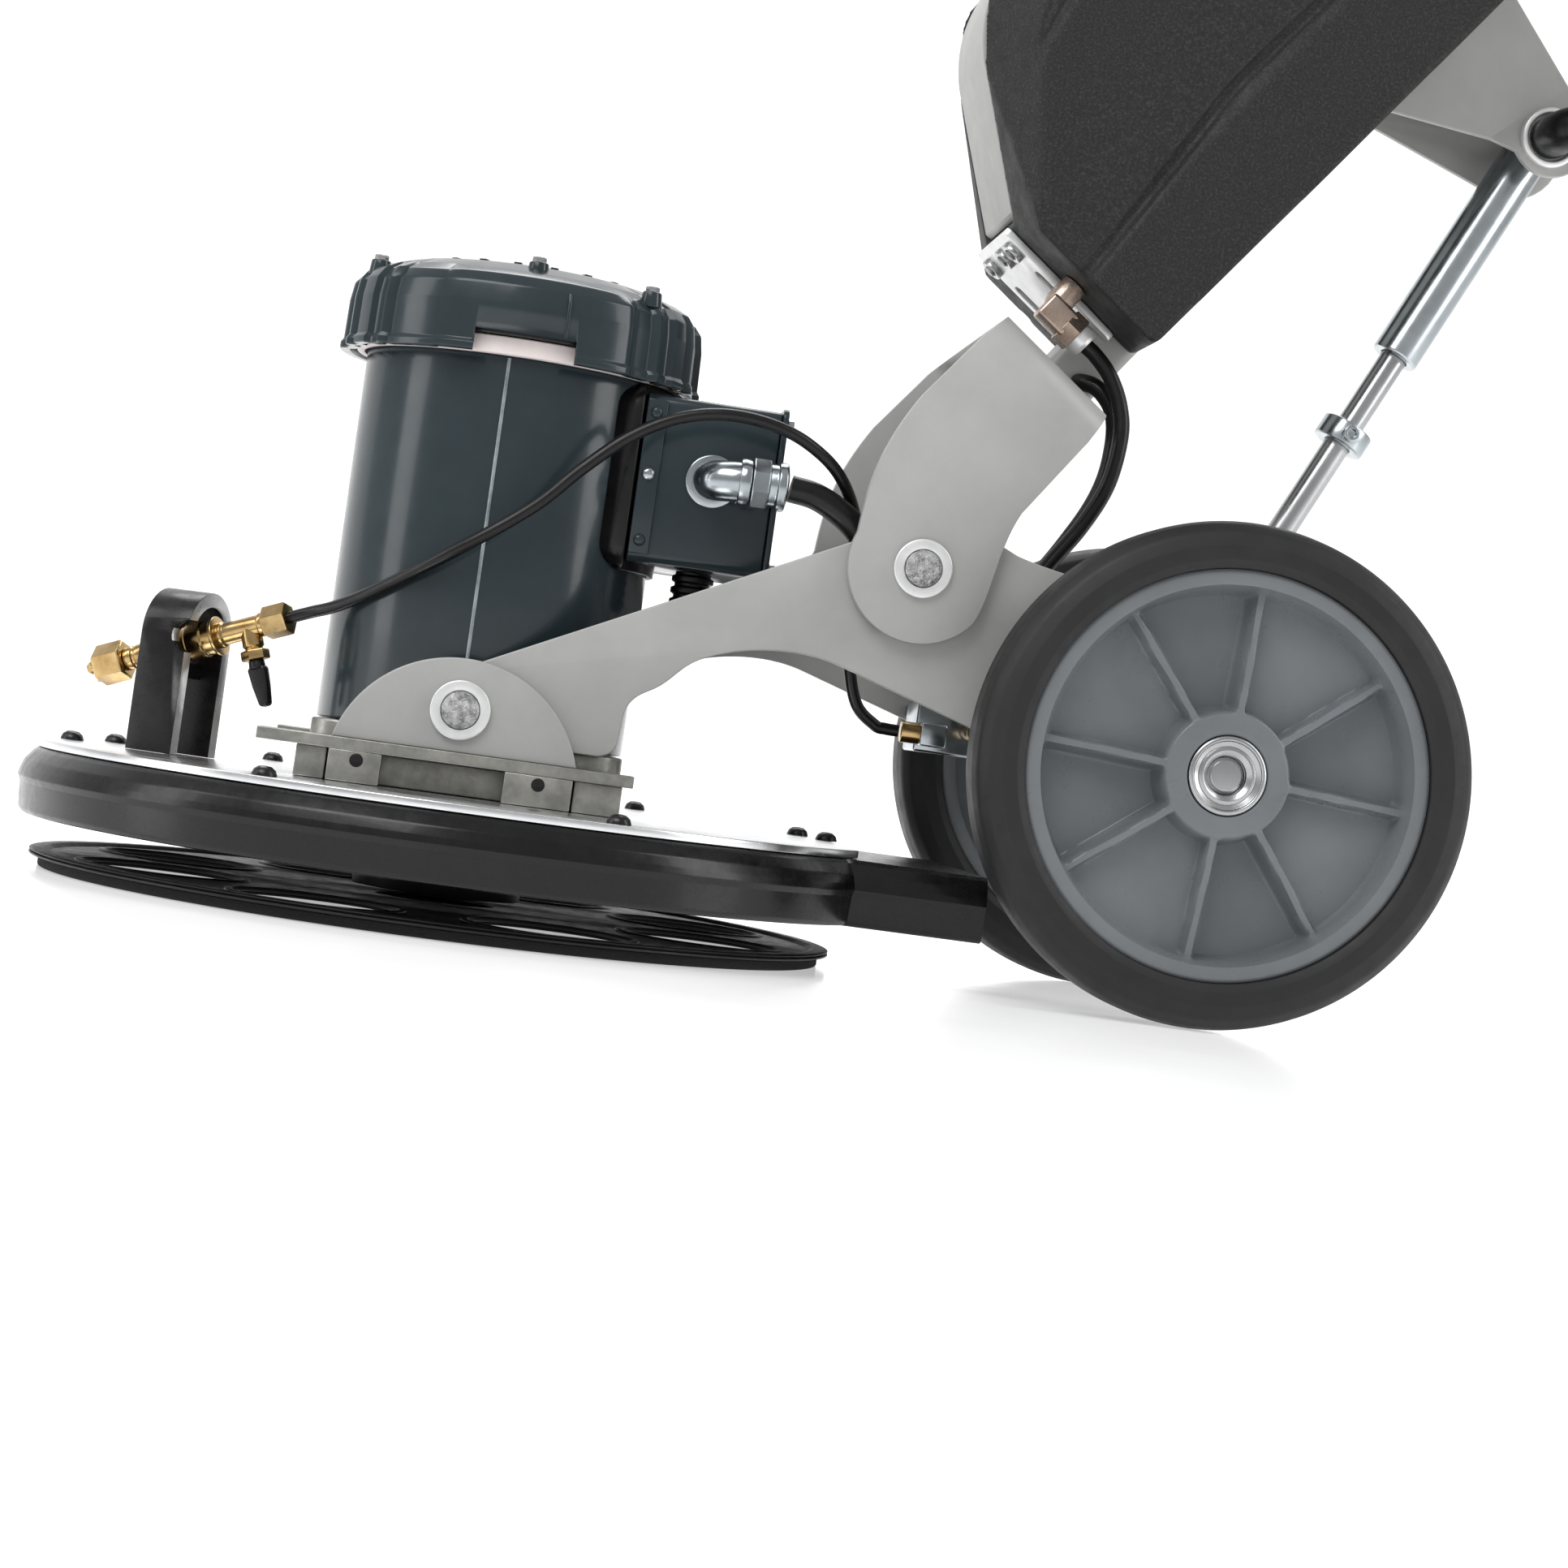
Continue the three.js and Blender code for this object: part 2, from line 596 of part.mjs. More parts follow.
function wheelCore() {
  const drum = turnedY([
    [20.3, 113], [30, 113], [31, 128], [94, 128], [95, 111], [RIM_R, 110],
    [RIM_R, 154], [96, 155], [94.5, 151], [93, 134], [32, 134], [29, 150], [20.3, 150],
  ], AXLE_X, AXLE_Z, 72);
  const ribs = RIB_ANGLES.map((angle) => {
    const rib = box(26, 96, 116, 147, -2.6, 2.6).rotate([0, -angle, 0]);
    return rib.translate([AXLE_X, 0, AXLE_Z]);
  });
  return cut(join(drum, ...ribs), discY(20.3, AXLE_X, AXLE_Z, 100, 160, 48));
}

function wheelBearing() {
  return turnedY([[PIN_R + CLEAR, 129], [20, 129], [20, 141], [PIN_R + CLEAR, 141]], AXLE_X, AXLE_Z, 32);
}

node(machine, 'tyre_far', tyre(), rubber);
node(machine, 'tyre_near', mirrorY(tyre()), rubber);
node(machine, 'wheel_core_far', mirrorY(mirrorY(wheelCore())), coreGrey);
node(machine, 'wheel_core_near', mirrorY(wheelCore()), coreGrey);
node(machine, 'wheel_bearing_far', wheelBearing(), steel);
node(machine, 'wheel_bearing_near', mirrorY(wheelBearing()), steel);

// ---------- handle: local Z runs up the handle, local X towards its underside ----------
const HANDLE = new THREE.Group();
HANDLE.position.set(TILT_X, 0, TILT_Z);
HANDLE.rotation.y = HANDLE_LEAN;
machine.add(HANDLE);

function handleYoke() {
  const side = new THREE.Shape();
  side.moveTo(-57.5, WEB_S);
  side.lineTo(-60.5, 108);
  side.lineTo(-61.5, 64);
  side.bezierCurveTo(-59, 30, -50, 12, -37, -9);
  side.absarc(0, 0, 38, Math.PI * 1.077, Math.PI * 1.98, false);
  side.bezierCurveTo(36, 14, 20, 34, 16.6, 56);
  side.lineTo(15.6, 106);
  side.lineTo(13.3, WEB_S);
  const r = 15;
  const channel = new THREE.Shape();
  channel.moveTo(-CHEEK_OUT, -60);
  channel.lineTo(-CHEEK_IN, -60);
  channel.lineTo(-CHEEK_IN, WEB_S - r);
  channel.absarc(-CHEEK_OUT + r, WEB_S - r, r - 7.2, Math.PI, Math.PI / 2, true);
  channel.lineTo(CHEEK_OUT - r, WEB_S - 7.2);
  channel.absarc(CHEEK_OUT - r, WEB_S - r, r - 7.2, Math.PI / 2, 0, true);
  channel.lineTo(CHEEK_IN, -60);
  channel.lineTo(CHEEK_OUT, -60);
  channel.lineTo(CHEEK_OUT, WEB_S - r);
  channel.absarc(CHEEK_OUT - r, WEB_S - r, r, 0, Math.PI / 2, false);
  channel.lineTo(-CHEEK_OUT + r, WEB_S);
  channel.absarc(-CHEEK_OUT + r, WEB_S - r, r, Math.PI / 2, Math.PI, false);
  const bent = endPlate(channel, -80, 60, 6).intersect(sidePlate(side, -120, 120, 10));
  return cut(bent, discY(PIN_R + CLEAR, 0, 0, -120, 120), discZ(8, -34, -60, 100, 140, 20));
}

function handleColumn() {
  const tube = cut(
    flatPlate(roundedBox(COLUMN_FRONT, COLUMN_BACK, -COLUMN_HALF, COLUMN_HALF, 6), WEB_S + CLEAR, COLUMN_TOP, 3),
    flatPlate(roundedBox(COLUMN_FRONT + 3, COLUMN_BACK - 3, -COLUMN_HALF + 3, COLUMN_HALF - 3, 3), WEB_S - 9, COLUMN_TOP + 9, 3),
  );
  const hook = (s, way) => join(
    box(COLUMN_BACK - 1, COLUMN_BACK + 30, -9, 9, s, s + 6),
    box(COLUMN_BACK + 24, COLUMN_BACK + 30, -9, 9, way > 0 ? s : s - 22, way > 0 ? s + 28 : s + 6),
  );
  return join(cut(tube, discY(8, -5, 139, -40, 0, 20)), hook(880, 1), hook(640, -1));
}

// Two cheeks on a web against the column; the near cheek ends in a round lobe about the lever's pivot.
function rearGusset() {
  const foot = COLUMN_BACK + CLEAR;
  const near = new THREE.Shape();
  near.moveTo(foot, 361.7);
  near.lineTo(64, 395);
  near.absarc(STRUT_TOP_T + 1, STRUT_TOP_S + 1.5, 21.5, Math.PI * 1.36, Math.PI * 2.42, false);
  near.lineTo(foot, 463);
  const far = new THREE.Shape();
  far.moveTo(foot, 366);
  far.lineTo(82, 388.3);
  far.quadraticCurveTo(110, 396, 110, 418);
  far.quadraticCurveTo(109, 440, 88, 443);
  far.lineTo(foot, 463);
  const web = sidePlate(polygon([
    [foot, 364.5], [foot + 4, 366.8], [foot + 4, 456], [80, 440], [80, 444.6], [foot, 462.6],
  ]), -22, 22);
  return cut(
    join(sidePlate(near, -26, -21, 10), sidePlate(far, 21, 26, 8), web),
    discY(7.3, STRUT_TOP_T, STRUT_TOP_S, -40, 40, 24),
  );
}

// The tank seen from the side, drawn in by the given inset.
function tankSide(i) {
  const shape = new THREE.Shape();
  shape.moveTo(-85 + i, TANK_LOW + i);
  shape.lineTo(4 - i, TANK_LOW + i);
  shape.lineTo(6.5 - i, TANK_LOW + 3 + i);
  shape.lineTo(9.5 - i, 300);
  shape.lineTo(11 - i, 430);
  shape.lineTo(14 - i, 566 - i);
  shape.quadraticCurveTo(14 - i, 580 - i, 4 - i, 571 - i);
  shape.lineTo(-166 + i, 446 - i);
  shape.quadraticCurveTo(-188 + i, 430 - i, -188 + i, 405);
  shape.lineTo(-188 + i, 280);
  shape.quadraticCurveTo(-187 + i, 244 + i / 2, -160 + 0.6 * i, 222 + 0.8 * i);
  shape.lineTo(-91 + 0.6 * i, 173.5 + 0.8 * i);
  return shape;
}

// The tank seen from above: a shallow step down each side between the wide back and the narrower front.
function tankPlan(half, inset) {
  const h = half - inset;
  return polygon([
    [-195, -h + 5], [-150, -h + 4], [-52, -h + 3], [-46, -h], [20, -h],
    [20, h], [-46, h], [-52, h - 3], [-150, h - 4], [-195, h - 5],
  ]);
}

// The front is full only across the guard, and falls back to each side.
function tankBody(inset) {
  const half = TANK_HALF - inset;
  const middle = sidePlate(tankSide(inset), -GUARD_HALF, GUARD_HALF, 6);
  const flanks = cut(sidePlate(tankSide(inset), -half, half, 6), sidePlate(aheadOfTank(26 + inset, 700), -120, 120, 6));
  return wasm.Manifold.hull([middle, flanks]).intersect(flatPlate(tankPlan(TANK_HALF, inset), 100, 700));
}

function tankShell() {
  const wall = 4;
  const outer = tankBody(0);
  const inner = tankBody(wall);
  const channel = box(COLUMN_FRONT - 1, 60, -COLUMN_HALF - 1, COLUMN_HALF + 1, 100, 700);
  const channelWall = box(COLUMN_FRONT - 1 - wall, 60, -COLUMN_HALF - 1 - wall, COLUMN_HALF + 1 + wall, 100, 700);
  const recess = sidePlate(aheadOfTank(3.6, 400.4), -GUARD_HALF - 0.4, GUARD_HALF + 0.4, 8);
  const recessWall = sidePlate(aheadOfTank(7.6, 404.4), -GUARD_HALF - 4.4, GUARD_HALF + 4.4, 8);
  const filler = box(-150, -62, -42, 42, 400, 700);
  return cut(outer, cut(inner, channelWall, recessWall), channel, recess, filler);
}

// Everything ahead of a line the given depth inside the tank's front.
function aheadOfTank(d, top) {
  const shape = new THREE.Shape();
  shape.moveTo(-230, 140);
  shape.lineTo(-91 + 0.575 * d, 140);
  shape.lineTo(-91 + 0.575 * d, 173.5 + 0.818 * d);
  shape.lineTo(-160 + 0.575 * d, 222 + 0.818 * d);
  shape.quadraticCurveTo(-187 + 0.95 * d, 244 + d / 2, -188 + d, 280);
  shape.lineTo(-188 + d, top);
  shape.lineTo(-230, top);
  return shape;
}

function frontGuard() {
  return cut(
    sidePlate(aheadOfTank(3.2, 400), -GUARD_HALF, GUARD_HALF, 8),
    sidePlate(aheadOfTank(0, 410), -60, 60, 8),
    box(-300, 0, -60, 60, 100, 175.5),
  );
}

function tankLid() {
  return sidePlate(polygon([[-156, 453.9], [-56, 527.4], [-58.4, 530.6], [-158.4, 457.1]]), -48, 48);
}

function tankMountPlate() {
  return cut(
    box(-89, -8, -GUARD_HALF - 2, GUARD_HALF + 2, TANK_LOW - 4.6, TANK_LOW - CLEAR),
    box(COLUMN_FRONT - CLEAR, 60, -COLUMN_HALF - CLEAR, COLUMN_HALF + CLEAR, 100, 200),
  );
}

const OUTLET_Y = -55;
const OUTLET_S = 150;

function outletElbow() {
  const body = hose([
    [-43, OUTLET_Y, TANK_LOW - CLEAR], [-43, OUTLET_Y, 160], [-42, OUTLET_Y, 154], [-38, OUTLET_Y, 150.5],
    [-30, OUTLET_Y, OUTLET_S],
  ], 7.6, 12, 10);
  return join(body, discX(10.5, OUTLET_Y, OUTLET_S, -33, -25, 8), discX(7.5, OUTLET_Y, OUTLET_S, -26, -16.4, 16));
}

node(HANDLE, 'handle_yoke', handleYoke(), grey);
node(HANDLE, 'handle_column', handleColumn(), grey);
node(HANDLE, 'rear_gusset', rearGusset(), grey);
node(HANDLE, 'tank_shell', tankShell(), tankBlack);
node(HANDLE, 'tank_lid', tankLid(), tankBlack);
node(HANDLE, 'front_guard', frontGuard(), grey);
node(HANDLE, 'tank_mount_plate', tankMountPlate(), zinc);
node(HANDLE, 'outlet_elbow', outletElbow(), brass);

// ---------- handle head ----------
const BAR_T = -6;
const BAR_S = 996;
const TRIGGER_T = 16;
const TRIGGER_S = 950;

function handleHead() {
  const side = new THREE.Shape();
  side.moveTo(-40, COLUMN_TOP + CLEAR);
  side.lineTo(34, COLUMN_TOP + CLEAR);
  side.lineTo(40, 1000);
  side.quadraticCurveTo(38, 1026, 14, 1030);
  side.lineTo(-34, 1030);
  side.quadraticCurveTo(-52, 1024, -52, 996);
  const housing = sidePlate(side, -74, 74, 8).intersect(flatPlate(roundedBox(-60, 50, -74, 74, 18), 900, 1100, 5));
  const bar = discY(12.5, -6, 996, -205, 205, 24);
  return cut(join(housing, bar), box(-43, -17, -13, 13, 1022, 1050), box(-8, 40, -60, 60, 930, 956));
}

function handGrip() {
  const sleeve = turnedY([
    [0, 78], [19, 78], [19, 82], [16.5, 86], [16.5, 198], [19, 204], [19, 209], [0, 209],
  ], BAR_T, BAR_S, 28);
  return cut(sleeve, discY(12.8, BAR_T, BAR_S, 60, 205.3, 28));
}

// The bail that starts the motor: a cross rod, an arm at each side of the head and a bar by each grip.
function triggerBar() {
  const sideArm = polygon([[10, 943], [24, 943], [34, 972], [31, 992], [22, 992], [22, 974]]);
  const half = (solid) => join(solid, mirrorY(solid));
  return join(
    discY(4, TRIGGER_T, TRIGGER_S, -84, 84, 12),
    half(sidePlate(sideArm, 76, 84)),
    half(box(22, 31, 76, 180, 984, 992)),
  );
}

function lockButton() {
  return join(discZ(12, -30, 0, 1019.8, 1034, 24), discZ(14.4, -30, 0, 1016, 1019.8, 24));
}

function headWithPockets() {
  return cut(
    handleHead(),
    discZ(12.3, -30, 0, 1010, 1050, 24),
    discZ(14.8, -30, 0, 1011, 1020.1, 24),
    discY(4.4, TRIGGER_T, TRIGGER_S, -100, 100, 16),
  );
}

node(HANDLE, 'handle_head', headWithPockets(), black);
node(HANDLE, 'grip_far', handGrip(), blackMatte);
node(HANDLE, 'grip_near', mirrorY(handGrip()), blackMatte);
node(HANDLE, 'trigger_bar', triggerBar(), black);
node(HANDLE, 'lock_button', lockButton(), rubber);

// ---------- folding strut ----------
const STRUT = new THREE.Group();
STRUT.position.copy(strutTop);
STRUT.rotation.y = Math.atan2(-strutDir.x, -strutDir.z);
machine.add(STRUT);

function strutTube() {
  const tube = cut(discZ(13, 0, 0, -140, -9, 32), discZ(8, 0, 0, -141, -30, 32));
  const eye = discY(11, 0, 0, -15, 15, 28);
  return cut(join(tube, eye), discY(7.3, 0, 0, -30, 30, 24));
}

function strutRod() {
  const rod = discZ(7.5, 0, 0, -strutLength + 4, -60, 28);
  const eye = discY(7.5, 0, -strutLength, -8, 8, 24);
  const pin = discY(4.6, 0, -strutLength, -18, 18, 20);
  const heads = join(discY(8, 0, -strutLength, 14.6, 18, 20), discY(8, 0, -strutLength, -18, -14.6, 20));
  return join(rod, eye, pin, heads);
}

function strutCollar() {
  const ring = turned([[7.8, -198], [14.5, -198], [14.5, -186], [7.8, -186]], 32);
  return cut(join(ring, discY(4, 0, -192, -19, -13, 16)), discY(2.6, 0, -192, -30, -10, 12));
}

function lockLever() {
  const rod = hose([[STRUT_TOP_T, -31, STRUT_TOP_S], [STRUT_TOP_T, -50, STRUT_TOP_S],
    [STRUT_TOP_T + 9, -60, STRUT_TOP_S + 13], [STRUT_TOP_T + 34, -62, STRUT_TOP_S + 60],
    [STRUT_TOP_T + 46, -62, STRUT_TOP_S + 82]], 11.5, 14, 8);
  return join(
    rod,
    discY(7, STRUT_TOP_T, STRUT_TOP_S, -34, 32, 20),
    discY(16, STRUT_TOP_T, STRUT_TOP_S, -33, -26.4, 24),
    discY(10, STRUT_TOP_T, STRUT_TOP_S, 26.4, 33, 24),
  );
}

node(STRUT, 'strut_tube', strutTube(), zinc);
node(STRUT, 'strut_rod', strutRod(), steel);
node(STRUT, 'strut_collar', strutCollar(), zinc);
node(HANDLE, 'lock_lever', lockLever(), black);

// ---------- hoses and cable ----------
const CLIP = [189, -76, 213];

node(machine, 'spray_hose', hose([
  [-99, -27.5, 142.6], [-89, -32, 146.6], [-76, -42, 151.5], [-54, -64, 163.5], [-20, -87.5, 186], [15, -90, 213],
  [36, -90, 235], [58, -89, 255], [81, -88, 268], [105, -87, 273.5], [129, -85, 272], [150, -80, 265],
  [168, -73, 252], [181, -62, 230], [186, -54, 200], [188, -46, 166], [196, -38, 140], [208, -34.5, 129.5],
  [214, -34, 128.2], [221, -34, 128],
], 3.2, 40, 8), black);
node(machine, 'motor_cable_lower', hose([
  [142.8, -78, 242], [156, -78, 240], [169, -77.5, 234], [181, -76.5, 225], CLIP,
], 7, 10, 8), black);
node(machine, 'motor_cable_upper', hose([
  [190, -76, 211.5], [193, -76, 207], [198, -70, 192], [214, -55, 182], [244, -44, 188], [276, -43, 212], [298, -43.5, 245],
  [309, -44, 270], [312, -44, 293], [309.5, -43.5, 310], [301, -41, 321], [292.5, -33, 324.5], [291.4, -10, 324.9],
], 7, 32, 8), black);
node(machine, 'feed_hose', hose([
  [289.3, -55, 340.1], [294.5, -55, 336.3], [303, -57, 326.5], [309.5, -60, 312], [312, -62, 295.4], [308.6, -61.5, 269.7],
  [297.8, -61, 246], [282, -62, 222], [268, -63, 196], [261, -62, 166], [260, -59, 144], [260, -52, 133],
  [260, -44.6, 132],
], 5.5, 32, 8), black);

export default machine;
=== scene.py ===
"""Orbital wet scrubbing floor machine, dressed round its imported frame."""

import json
import math

import bmesh
import bpy
from mathutils import Matrix, Vector


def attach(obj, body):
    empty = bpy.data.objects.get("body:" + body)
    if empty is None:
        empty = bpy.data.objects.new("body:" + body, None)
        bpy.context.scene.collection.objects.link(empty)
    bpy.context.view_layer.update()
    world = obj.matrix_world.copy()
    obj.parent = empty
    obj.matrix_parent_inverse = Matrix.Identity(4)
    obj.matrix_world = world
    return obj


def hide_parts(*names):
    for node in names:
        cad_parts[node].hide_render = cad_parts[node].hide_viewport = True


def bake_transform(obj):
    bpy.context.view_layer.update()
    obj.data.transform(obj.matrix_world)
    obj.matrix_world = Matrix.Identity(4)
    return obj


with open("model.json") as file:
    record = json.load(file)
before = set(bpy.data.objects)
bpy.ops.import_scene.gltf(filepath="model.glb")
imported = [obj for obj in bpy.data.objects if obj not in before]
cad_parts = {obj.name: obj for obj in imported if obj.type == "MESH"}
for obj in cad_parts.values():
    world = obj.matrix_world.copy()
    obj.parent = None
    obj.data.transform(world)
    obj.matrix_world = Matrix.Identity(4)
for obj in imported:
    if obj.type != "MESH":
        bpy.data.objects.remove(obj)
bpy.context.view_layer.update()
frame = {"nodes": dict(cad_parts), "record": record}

MM = 0.001
PI = math.pi
RAD = math.radians


# ---------------------------------------------------------------- camera
def look(yaw, pitch, roll):
    """Camera axes from a heading off +Y, a tilt up and a roll."""
    fw = Vector((math.sin(yaw) * math.cos(pitch), math.cos(yaw) * math.cos(pitch), math.sin(pitch)))
    right = Vector((math.cos(yaw), -math.sin(yaw), 0))
    up = right.cross(fw)
    right2 = right * math.cos(roll) + up * math.sin(roll)
    up2 = up * math.cos(roll) - right * math.sin(roll)
    return Matrix((right2, up2, -fw)).transposed()


CAMERA_PLACE = (-0.0119, -1.6869, 0.1043)
HEADING, PITCH, ROLL = RAD(7.0), RAD(1.1), RAD(7.9)

cam_data = bpy.data.cameras.new("camera")
cam = bpy.data.objects.new("camera", cam_data)
bpy.context.scene.collection.objects.link(cam)
cam.matrix_world = Matrix.Translation(CAMERA_PLACE) @ look(HEADING, PITCH, ROLL).to_4x4()
cam_data.lens = 72.9
cam_data.sensor_width = 36
cam_data.shift_x = -0.0384
cam_data.shift_y = -0.0488
cam_data.clip_end = 60
bpy.context.scene.camera = cam
bpy.context.scene.view_settings.view_transform = "Standard"


# ---------------------------------------------------------------- materials
def srgb(*c):
    return tuple((v / 255 / 12.92) if v <= 10 else ((v / 255 + 0.055) / 1.055) ** 2.4 for v in c) + (1,)


class Nodes:
    """A short hand for a material's node tree."""

    def __init__(self, name):
        self.mat = bpy.data.materials.new(name)
        self.mat.use_nodes = True
        self.tree = self.mat.node_tree
        self.bsdf = self.tree.nodes["Principled BSDF"]
        self.coord = self.add("ShaderNodeTexCoord").outputs["Object"]

    def add(self, kind, **values):
        node = self.tree.nodes.new(kind)
        for key, value in values.items():
            node.inputs[key].default_value = value
        return node

    def link(self, a, b):
        self.tree.links.new(a, b)

    def noise(self, scale, detail=4, rough=0.6, stretch=None):
        node = self.add("ShaderNodeTexNoise", Scale=scale, Detail=detail, Roughness=rough)
        source = self.coord
        if stretch:
            mapping = self.add("ShaderNodeMapping")
            mapping.inputs["Scale"].default_value = stretch
            self.link(source, mapping.inputs["Vector"])
            source = mapping.outputs["Vector"]
        self.link(source, node.inputs["Vector"])
        return node.outputs["Fac"]

    def ramp(self, fac, stops):
        node = self.add("ShaderNodeValToRGB")
        ends = node.color_ramp.elements
        while len(ends) < len(stops):
            ends.new(0.5)
        for end, (pos, colour) in zip(ends, stops):
            end.position = pos
            end.color = colour
        self.link(fac, node.inputs["Fac"])
        return node.outputs["Color"]

    def span(self, fac, low, high):
        """A noise's middle range spread from low to high."""
        node = self.add("ShaderNodeMapRange",
                        **{"From Min": 0.3, "From Max": 0.7, "To Min": low, "To Max": high})
        self.link(fac, node.inputs["Value"])
        return node.outputs["Result"]

    def bump(self, *layers):
        """Layers of (height output, strength, distance in metres)."""
        last = None
        for height, strength, distance in layers:
            node = self.add("ShaderNodeBump", Strength=strength, Distance=distance)
            self.link(height, node.inputs["Height"])
            if last:
                self.link(last, node.inputs["Normal"])
            last = node.outputs["Normal"]
        self.link(last, self.bsdf.inputs["Normal"])


def material(name, dark, light, rough, metal=0.0, grain=(300, 0.15, 0.0002), cloud=12, stretch=None,
             coat=0.0, spec=0.5):
    """A surface whose colour drifts between two tones, with its own grain and uneven gloss.

    grain is (noise scale, bump strength, bump height); cloud is the scale of the drift."""
    n = Nodes(name)
    b = n.bsdf
    b.inputs["Metallic"].default_value = metal
    b.inputs["Specular IOR Level"].default_value = spec
    b.inputs["Coat Weight"].default_value = coat
    b.inputs["Coat Roughness"].default_value = 0.06
    drift = n.noise(cloud, 5, 0.65)
    n.link(n.ramp(drift, [(0.3, srgb(*dark)), (0.7, srgb(*light))]), b.inputs["Base Color"])
    fine = n.noise(grain[0], 5, 0.6, stretch)
    n.link(n.span(n.noise(cloud * 5, 5, 0.7), rough[0], rough[1]), b.inputs["Roughness"])
    n.bump((fine, grain[1], grain[2]))
    return n.mat


M = {
    "motor_paint": material("motor_enamel", (33, 42, 46), (42, 52, 56), (0.14, 0.24), coat=0.1, spec=0.3,
                            grain=(90, 0.12, 0.0004), cloud=9),
    "frame_paint": material("frame_powder_coat", (150, 150, 148), (162, 162, 160), (0.4, 0.52),
                            metal=0.15, grain=(1500, 0.22, 0.00012), cloud=14),
    "deck_bright": material("deck_polish", (205, 206, 208), (225, 226, 227), (0.16, 0.3), metal=1.0,
                            grain=(200, 0.08, 0.0001), stretch=(1, 14, 1), cloud=10),
    "cast_grey": material("bare_steel", (120, 120, 116), (165, 164, 158), (0.28, 0.5), metal=0.85,
                          grain=(420, 0.4, 0.0003), cloud=60),
    "gloss_black": material("bumper_black", (9, 9, 10), (15, 15, 16), (0.18, 0.34), coat=0.08, spec=0.28,
                            grain=(160, 0.1, 0.0003), cloud=20),
    "driver_black": material("driver_black", (16, 16, 17), (26, 26, 27), (0.3, 0.5), spec=0.28,
                             grain=(500, 0.25, 0.0002), cloud=24),
    "black_paint": material("satin_black", (15, 14, 15), (25, 22, 23), (0.2, 0.38), spec=0.35,
                            grain=(900, 0.25, 0.00015), cloud=26),
    "rubber_black": material("hose_rubber", (9, 9, 10), (17, 17, 18), (0.24, 0.4), spec=0.3,
                             grain=(700, 0.2, 0.0002), cloud=30),
    "tyre_rubber": material("tyre_rubber", (26, 26, 27), (37, 37, 37), (0.42, 0.6), spec=0.3,
                            grain=(650, 0.35, 0.0002), cloud=14),
    "core_grey": material("core_nylon", (94, 98, 101), (110, 114, 117), (0.24, 0.4), spec=0.4,
                          grain=(900, 0.2, 0.00012), cloud=9),
    "zinc": material("bright_zinc", (146, 153, 157), (186, 192, 195), (0.18, 0.27), metal=1.0,
                     grain=(120, 0.12, 0.0003), cloud=16),
    "steel": material("turned_steel", (156, 157, 158), (182, 183, 184), (0.22, 0.3), metal=1.0,
                      grain=(400, 0.1, 0.0001), cloud=12),
    "brass": material("brass", (150, 120, 74), (202, 174, 124), (0.14, 0.28), metal=1.0,
                      grain=(350, 0.18, 0.0002), cloud=50),
    "pale_brass": material("pale_brass", (150, 130, 118), (186, 168, 154), (0.2, 0.36), metal=0.9,
                           grain=(350, 0.18, 0.0002), cloud=50),
    # The weld seam's colour is far lighter than the enamel: a painted highlight along the seam's ridge.
    "seam_painted_highlight": material("seam_highlight", (78, 90, 95), (150, 160, 163), (0.1, 0.22), spec=0.8,
                           grain=(90, 0.12, 0.0004), cloud=60),
    "louvre_pale": material("louvre_pale", (206, 196, 194), (226, 216, 213), (0.4, 0.55),
                            grain=(300, 0.2, 0.0002), cloud=30),
    "copper": material("copper_winding", (130, 72, 38), (168, 98, 52), (0.3, 0.5), metal=0.8,
                       grain=(300, 0.4, 0.0006), stretch=(1, 1, 8)),
    "washer": material("washer_white", (206, 207, 207), (228, 228, 228), (0.3, 0.42), metal=0.6,
                       grain=(500, 0.2, 0.0001), cloud=60),
    "bolt_end": material("bolt_end", (96, 96, 96), (196, 196, 196), (0.25, 0.5), metal=1.0,
                         grain=(420, 1.0, 0.0016), cloud=260),
    # Near-white colour for the strap's cut edges: a painted highlight along the black band's edges.
    "edge_painted_highlight": material("strap_edge_painted_highlight", (188, 189, 190), (222, 222, 222), (0.25, 0.4), metal=0.7,
                            grain=(600, 0.2, 0.0001), cloud=40),
}
M["cover_grey"] = M["frame_paint"]


def tank_material():
    n = Nodes("tank_texture")
    b = n.bsdf
    b.inputs["Specular IOR Level"].default_value = 0.3
    fine = n.noise(760, 3, 0.6)
    speck = n.ramp(fine, [(0.36, srgb(20, 20, 21)), (0.54, srgb(31, 31, 32)), (0.74, srgb(52, 52, 53))])
    n.link(speck, b.inputs["Base Color"])
    n.link(n.span(n.noise(90, 4, 0.6), 0.5, 0.7), b.inputs["Roughness"])
    n.bump((fine, 0.4, 0.0005), (n.noise(30, 2, 0.5), 0.08, 0.001))
    return n.mat


M["tank_black"] = tank_material()


def fibre_material():
    n = Nodes("gripping_fibre")
    fine = n.noise(700, 6, 0.8)
    n.link(n.ramp(fine, [(0.35, srgb(10, 10, 10)), (0.65, srgb(38, 38, 38))]), n.bsdf.inputs["Base Color"])
    n.link(n.span(fine, 0.8, 1.0), n.bsdf.inputs["Roughness"])
    n.bump((fine, 1.0, 0.0015))
    return n.mat


M["fibre"] = fibre_material()

# ---------------------------------------------------------------- shapes
LEAN = 36.4
COLUMN = Matrix.Translation((0.213, 0, 0.210)) @ Matrix.Rotation(RAD(LEAN), 4, "Y")
IDENTITY = Matrix.Identity(4)
SIDES = (("near", -1), ("far", 1))


